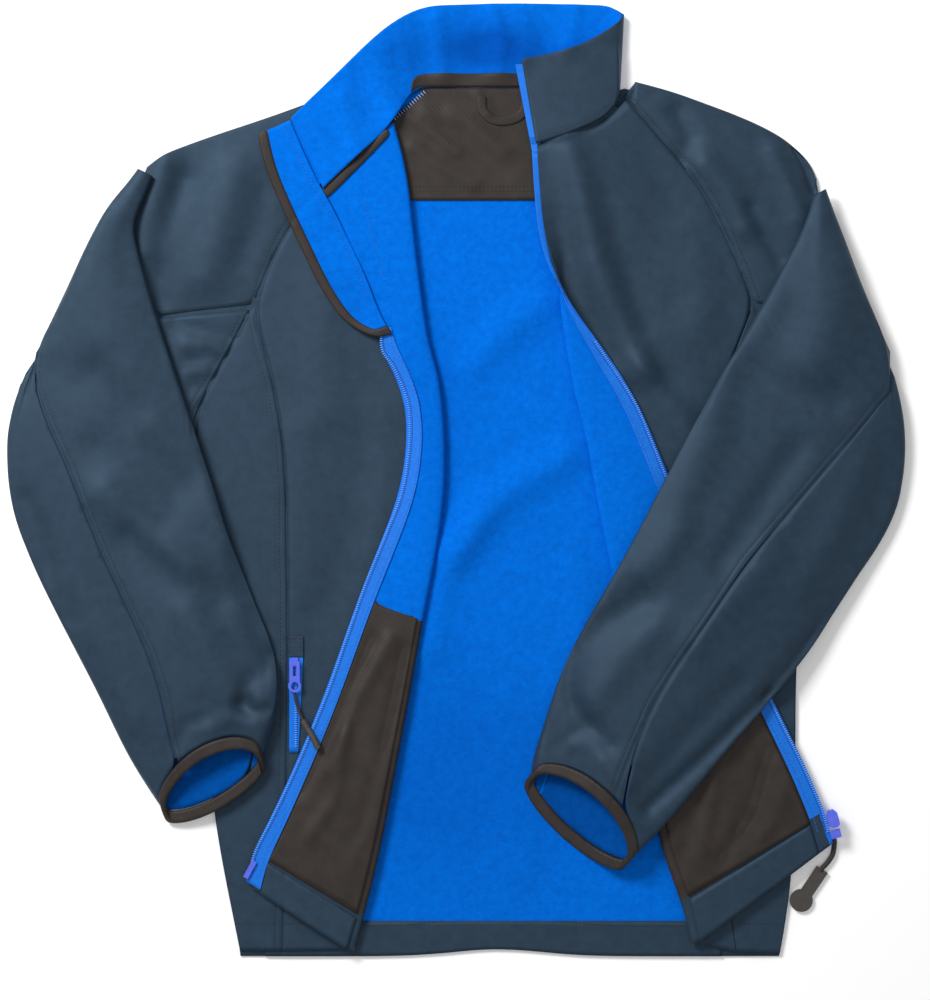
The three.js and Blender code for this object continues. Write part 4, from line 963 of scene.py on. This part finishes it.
class JACKET_OT_stage(bpy.types.Operator):
    """Lays the white surface, the soft studio light and the camera"""

    bl_idname = "jacket.stage"
    bl_label = "Stage"

    def execute(self, context):
        scene = context.scene
        scene.view_settings.view_transform = "Standard"
        bpy.ops.mesh.primitive_plane_add(size=FLOOR_SIZE, location=(0, 0, -FLOOR_GAP))
        floor = context.object
        floor.name = "floor"
        # Matt white paper: no gloss, and bright enough to burn out behind the jacket.
        floor.data.materials.append(surface_finish(
            "matt_white_paper", (colours().floor, (0.98, 0.98, 0.98), 300, 0.5), None,
            {"Roughness": 1.0, "Specular IOR Level": 0.0, "Emission Strength": 0.07,
             "Emission Color": rgba(colours().floor)},
        ))

        world = scene.world or bpy.data.worlds.new("World")
        scene.world = world
        world.use_nodes = True
        sky = world.node_tree.nodes["Background"].inputs
        sky["Color"].default_value = (1, 1, 1, 1)
        sky["Strength"].default_value = SKY_STRENGTH

        for name, (place, size, power) in LIGHTS.items():
            light = bpy.data.lights.new(name, "AREA")
            light.size = size
            light.energy = power
            lamp = new_object(name, light)
            lamp.location = place
            lamp.rotation_euler = (-Vector(place)).to_track_quat("-Z", "Y").to_euler()

        camera = bpy.data.cameras.new("camera")
        camera.lens = CAMERA_LENS
        camera.sensor_width = CAMERA_SENSOR
        eye = new_object("camera", camera)
        eye.location = (VIEW_X * MM, VIEW_Y * MM, CAMERA_HEIGHT * MM)
        scene.camera = eye
        return {"FINISHED"}


class JACKET_OT_body(bpy.types.Operator):
    """Makes the back, the fronts, the side panels, the hems, linings and pocket bags"""

    bl_idname = "jacket.body"
    bl_label = "Body"

    def execute(self, context):
        make_cloths("body")
        return {"FINISHED"}


class JACKET_OT_sleeves(bpy.types.Operator):
    """Makes the raglan sleeves with their caps, underarm panels and bound cuffs"""

    bl_idname = "jacket.sleeves"
    bl_label = "Sleeves"

    def execute(self, context):
        make_cloths("sleeves")
        return {"FINISHED"}


class JACKET_OT_collar(bpy.types.Operator):
    """Makes the collar, the back neck tape and the bound chin guard"""

    bl_idname = "jacket.collar"
    bl_label = "Collar"

    def execute(self, context):
        make_cloths("collar")
        return {"FINISHED"}


class JACKET_OT_zips(bpy.types.Operator):
    """Makes the zip tapes, their coils, the sliders, the box and the pin"""

    bl_idname = "jacket.zips"
    bl_label = "Zips"

    def execute(self, context):
        make_cloths("zips")
        collar = surface_of(["collar_outer", "front_left"])
        rows = []
        for k in range(COLLAR_ZIP_STEPS + 1):
            x, y = Vector(COLLAR_ZIP[0]).lerp(Vector(COLLAR_ZIP[1]), k / COLLAR_ZIP_STEPS)
            z = collar(x + COLLAR_ZIP_PROBE, y)[0].z / MM - COLLAR_ZIP_DEPTH
            rows.append([
                Vector((x - COLLAR_ZIP_OUTSIDE, y, z - COLLAR_ZIP_FALL)) * MM,
                Vector((x + COLLAR_ZIP_INSIDE, y, z)) * MM,
            ])
        vertices, faces = [], []
        strip(vertices, faces, rows, COLLAR_ZIP_THICKNESS * MM)
        sewn_piece("zip_tape_collar", vertices, faces, zip_tape_weave())
        # The main zip's coils are named after their tapes' cloths.
        coils = [(tape, tape + "_cloth.001", beside(line, COIL_INSET * inward))
                 for tape, (inward, line) in ZIP_EDGES.items()]
        coils.append(("pocket_zip_tape", "pocket_zip_coil", POCKET_COIL))
        for tape, name, line in coils:
            coil = bead_run(
                line, surface_of([tape]), sizes().tooth_pitch,
                (sizes().tooth / 2, COIL_THICKNESS / 2 * MM, COIL_HEIGHT / 2 * MM), across=True,
                lift=COIL_LIFT * MM,
            )
            joined_beads(name, [coil], small_part("coil_teeth"))
        finish_part("zip_box", "moulded_nylon", 0.5)
        for name in ("zip_slider", "zip_pin", "pocket_slider", "pocket_tab"):
            finish_part(name, "painted_zinc", 0.5)
        return {"FINISHED"}


# The cords' routes in millimetres. Each goes on into its grip or tag.
POCKET_CORD = [
    (-138, -181, 9.9), (-137.4, -184.5, 9.8), (-136.6, -189, 9.6), (-134.4, -196, 9.6),
    (-131.4, -203.4, 10), (-127, -211, 11), (-122, -219, 12.4), (-118.3, -227, 12.9),
]
MAIN_CORD = [
    (320.6, -304.6, 6), (321.6, -308, 4.2), (321.4, -314, 2.4), (320, -320, 2.3),
    (316, -326, 2.3), (311.6, -330.6, 2.3), (308.6, -334.2, 2.2),
]


def cord_piece(name, route, diameter, body):
    """A round cord as a curve through its route in millimetres, and its length."""
    curve = bpy.data.curves.new(name, "CURVE")
    curve.dimensions = "3D"
    curve.bevel_depth = diameter / 2
    curve.bevel_resolution = 4
    curve.use_fill_caps = True
    line = smooth_line(route, 1.2)
    spline = curve.splines.new("POLY")
    spline.points.add(len(line) - 1)
    for point, place in zip(spline.points, line):
        point.co = (*(place * MM), 1)
    curve.materials.append(small_part("braided_cord"))
    made = new_object(name, curve)
    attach(made, body)
    span = sum((b - a).length for a, b in zip(line, line[1:])) * MM
    return made, span


class JACKET_OT_pulls(bpy.types.Operator):
    """Makes the pull cords of the zips with the pocket's grip and the rubber tag"""

    bl_idname = "jacket.pulls"
    bl_label = "Pulls"

    def execute(self, context):
        for name, route, diameter, grip, body in (
            ("pocket_cord", POCKET_CORD, 2.5 * MM, "pocket_cord_end", "pocket_pull"),
            ("main_cord", MAIN_CORD, 4.4 * MM, "main_cord_tag", "garment"),
        ):
            made, span = cord_piece(name + "_braid", route, diameter, body)
            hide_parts(name)
            finish_part(grip, "moulded_rubber", 0.6)
        return {"FINISHED"}


class JACKET_OT_stitching(bpy.types.Operator):
    """Sews the topstitching along the seams, hems and bindings"""

    bl_idname = "jacket.stitching"
    bl_label = "Stitching"

    def execute(self, context):
        half = (sizes().stitch / 2, sizes().thread / 2, sizes().thread / 3)
        runs = {shade: [] for shade in THREADS}
        lines = list(TOPSTITCHES)
        for offset, names, line in SEAMS.values():
            lines.append(("navy", names, beside(line, offset)))
        for shade, names, line in lines:
            surface = surface_of(names)
            runs[shade].append(bead_run(line, surface, sizes().stitch_pitch, half))
        for name, (inward, line) in ZIP_EDGES.items():
            surface = surface_of([name])
            # The first line of each zip is the cord of painted shadow along the coil.
            for offset, shade, share in ZIP_TAPE_LINES:
                seam = beside(line, offset * inward)
                stitch = (sizes().stitch_pitch * share / 2, *half[1:])
                runs[shade].append(bead_run(seam, surface, sizes().stitch_pitch, stitch))
        surface = surface_of(["back_yoke_lining", "back"])
        rung = (OVERLOCK_WIDTH / 2 * MM, sizes().thread / 2, sizes().thread / 2)
        for shade, share in OVERLOCK_STARTS.items():
            line = [Vector(OVERLOCK[0]).lerp(Vector(OVERLOCK[1]), share), OVERLOCK[1]]
            runs[shade].append(bead_run(line, surface, OVERLOCK_PITCH * MM, rung, across=True))
        for shade, (cloth, darkness, slot) in THREADS.items():
            value = tuple(v * darkness for v in getattr(colours(), cloth))
            thread = plain_finish("thread_" + shade, value, THREAD_ROUGHNESS)
            joined_beads("topstitching_" + shade, runs[shade], thread)
        return {"FINISHED"}


class JACKET_OT_seams(bpy.types.Operator):
    """Lays the turned-in seam allowances under the seams"""

    bl_idname = "jacket.seams"
    bl_label = "Seam allowances"

    def execute(self, context):
        names = [name for group in CLOTHS.values() for name in group]
        shells = ("sleeve", "side", "front", "collar")
        surface = surface_of([name for name in names if name.startswith(shells)])
        vertices, faces = [], []
        for _, _, line in SEAMS.values():
            allowance(vertices, faces, line, surface)
        for x, y, radius in SEAM_MEETINGS:
            patch(vertices, faces, x, y, radius, surface)
        sewn_piece("seam_allowances", vertices, faces, softshell_face())
        finish = {"fleece": fleece_inside(), "lining": woven_lining()}
        for name, slot, pieces, line in INNER_SEAMS:
            vertices, faces = [], []
            allowance(vertices, faces, line, surface_of(pieces))
            sewn_piece(name, vertices, faces, finish[slot])
        return {"FINISHED"}


OPERATORS = (
    JACKET_OT_stage, JACKET_OT_body, JACKET_OT_sleeves, JACKET_OT_collar, JACKET_OT_zips,
    JACKET_OT_pulls, JACKET_OT_seams, JACKET_OT_stitching,
)


class JACKET_PT_panel(bpy.types.Panel):
    bl_idname = "JACKET_PT_panel"
    bl_label = "Softshell jacket"
    bl_space_type = "VIEW_3D"
    bl_region_type = "UI"
    bl_category = "Jacket"

    def draw(self, context):
        for operator in OPERATORS:
            self.layout.operator(operator.bl_idname)


CLASSES = (JacketColours, JacketSizes, *OPERATORS, JACKET_PT_panel)


def register():
    for cls in CLASSES:
        bpy.utils.register_class(cls)
    bpy.types.Scene.jacket_colours = PointerProperty(type=JacketColours)
    bpy.types.Scene.jacket_sizes = PointerProperty(type=JacketSizes)


def unregister():
    del bpy.types.Scene.jacket_sizes
    del bpy.types.Scene.jacket_colours
    for cls in reversed(CLASSES):
        bpy.utils.unregister_class(cls)


def main():
    register()
    bpy.ops.jacket.stage()
    bpy.ops.jacket.body()
    bpy.ops.jacket.sleeves()
    bpy.ops.jacket.collar()
    bpy.ops.jacket.zips()
    bpy.ops.jacket.pulls()
    bpy.ops.jacket.seams()
    bpy.ops.jacket.stitching()


if __name__ == "__main__":
    main()
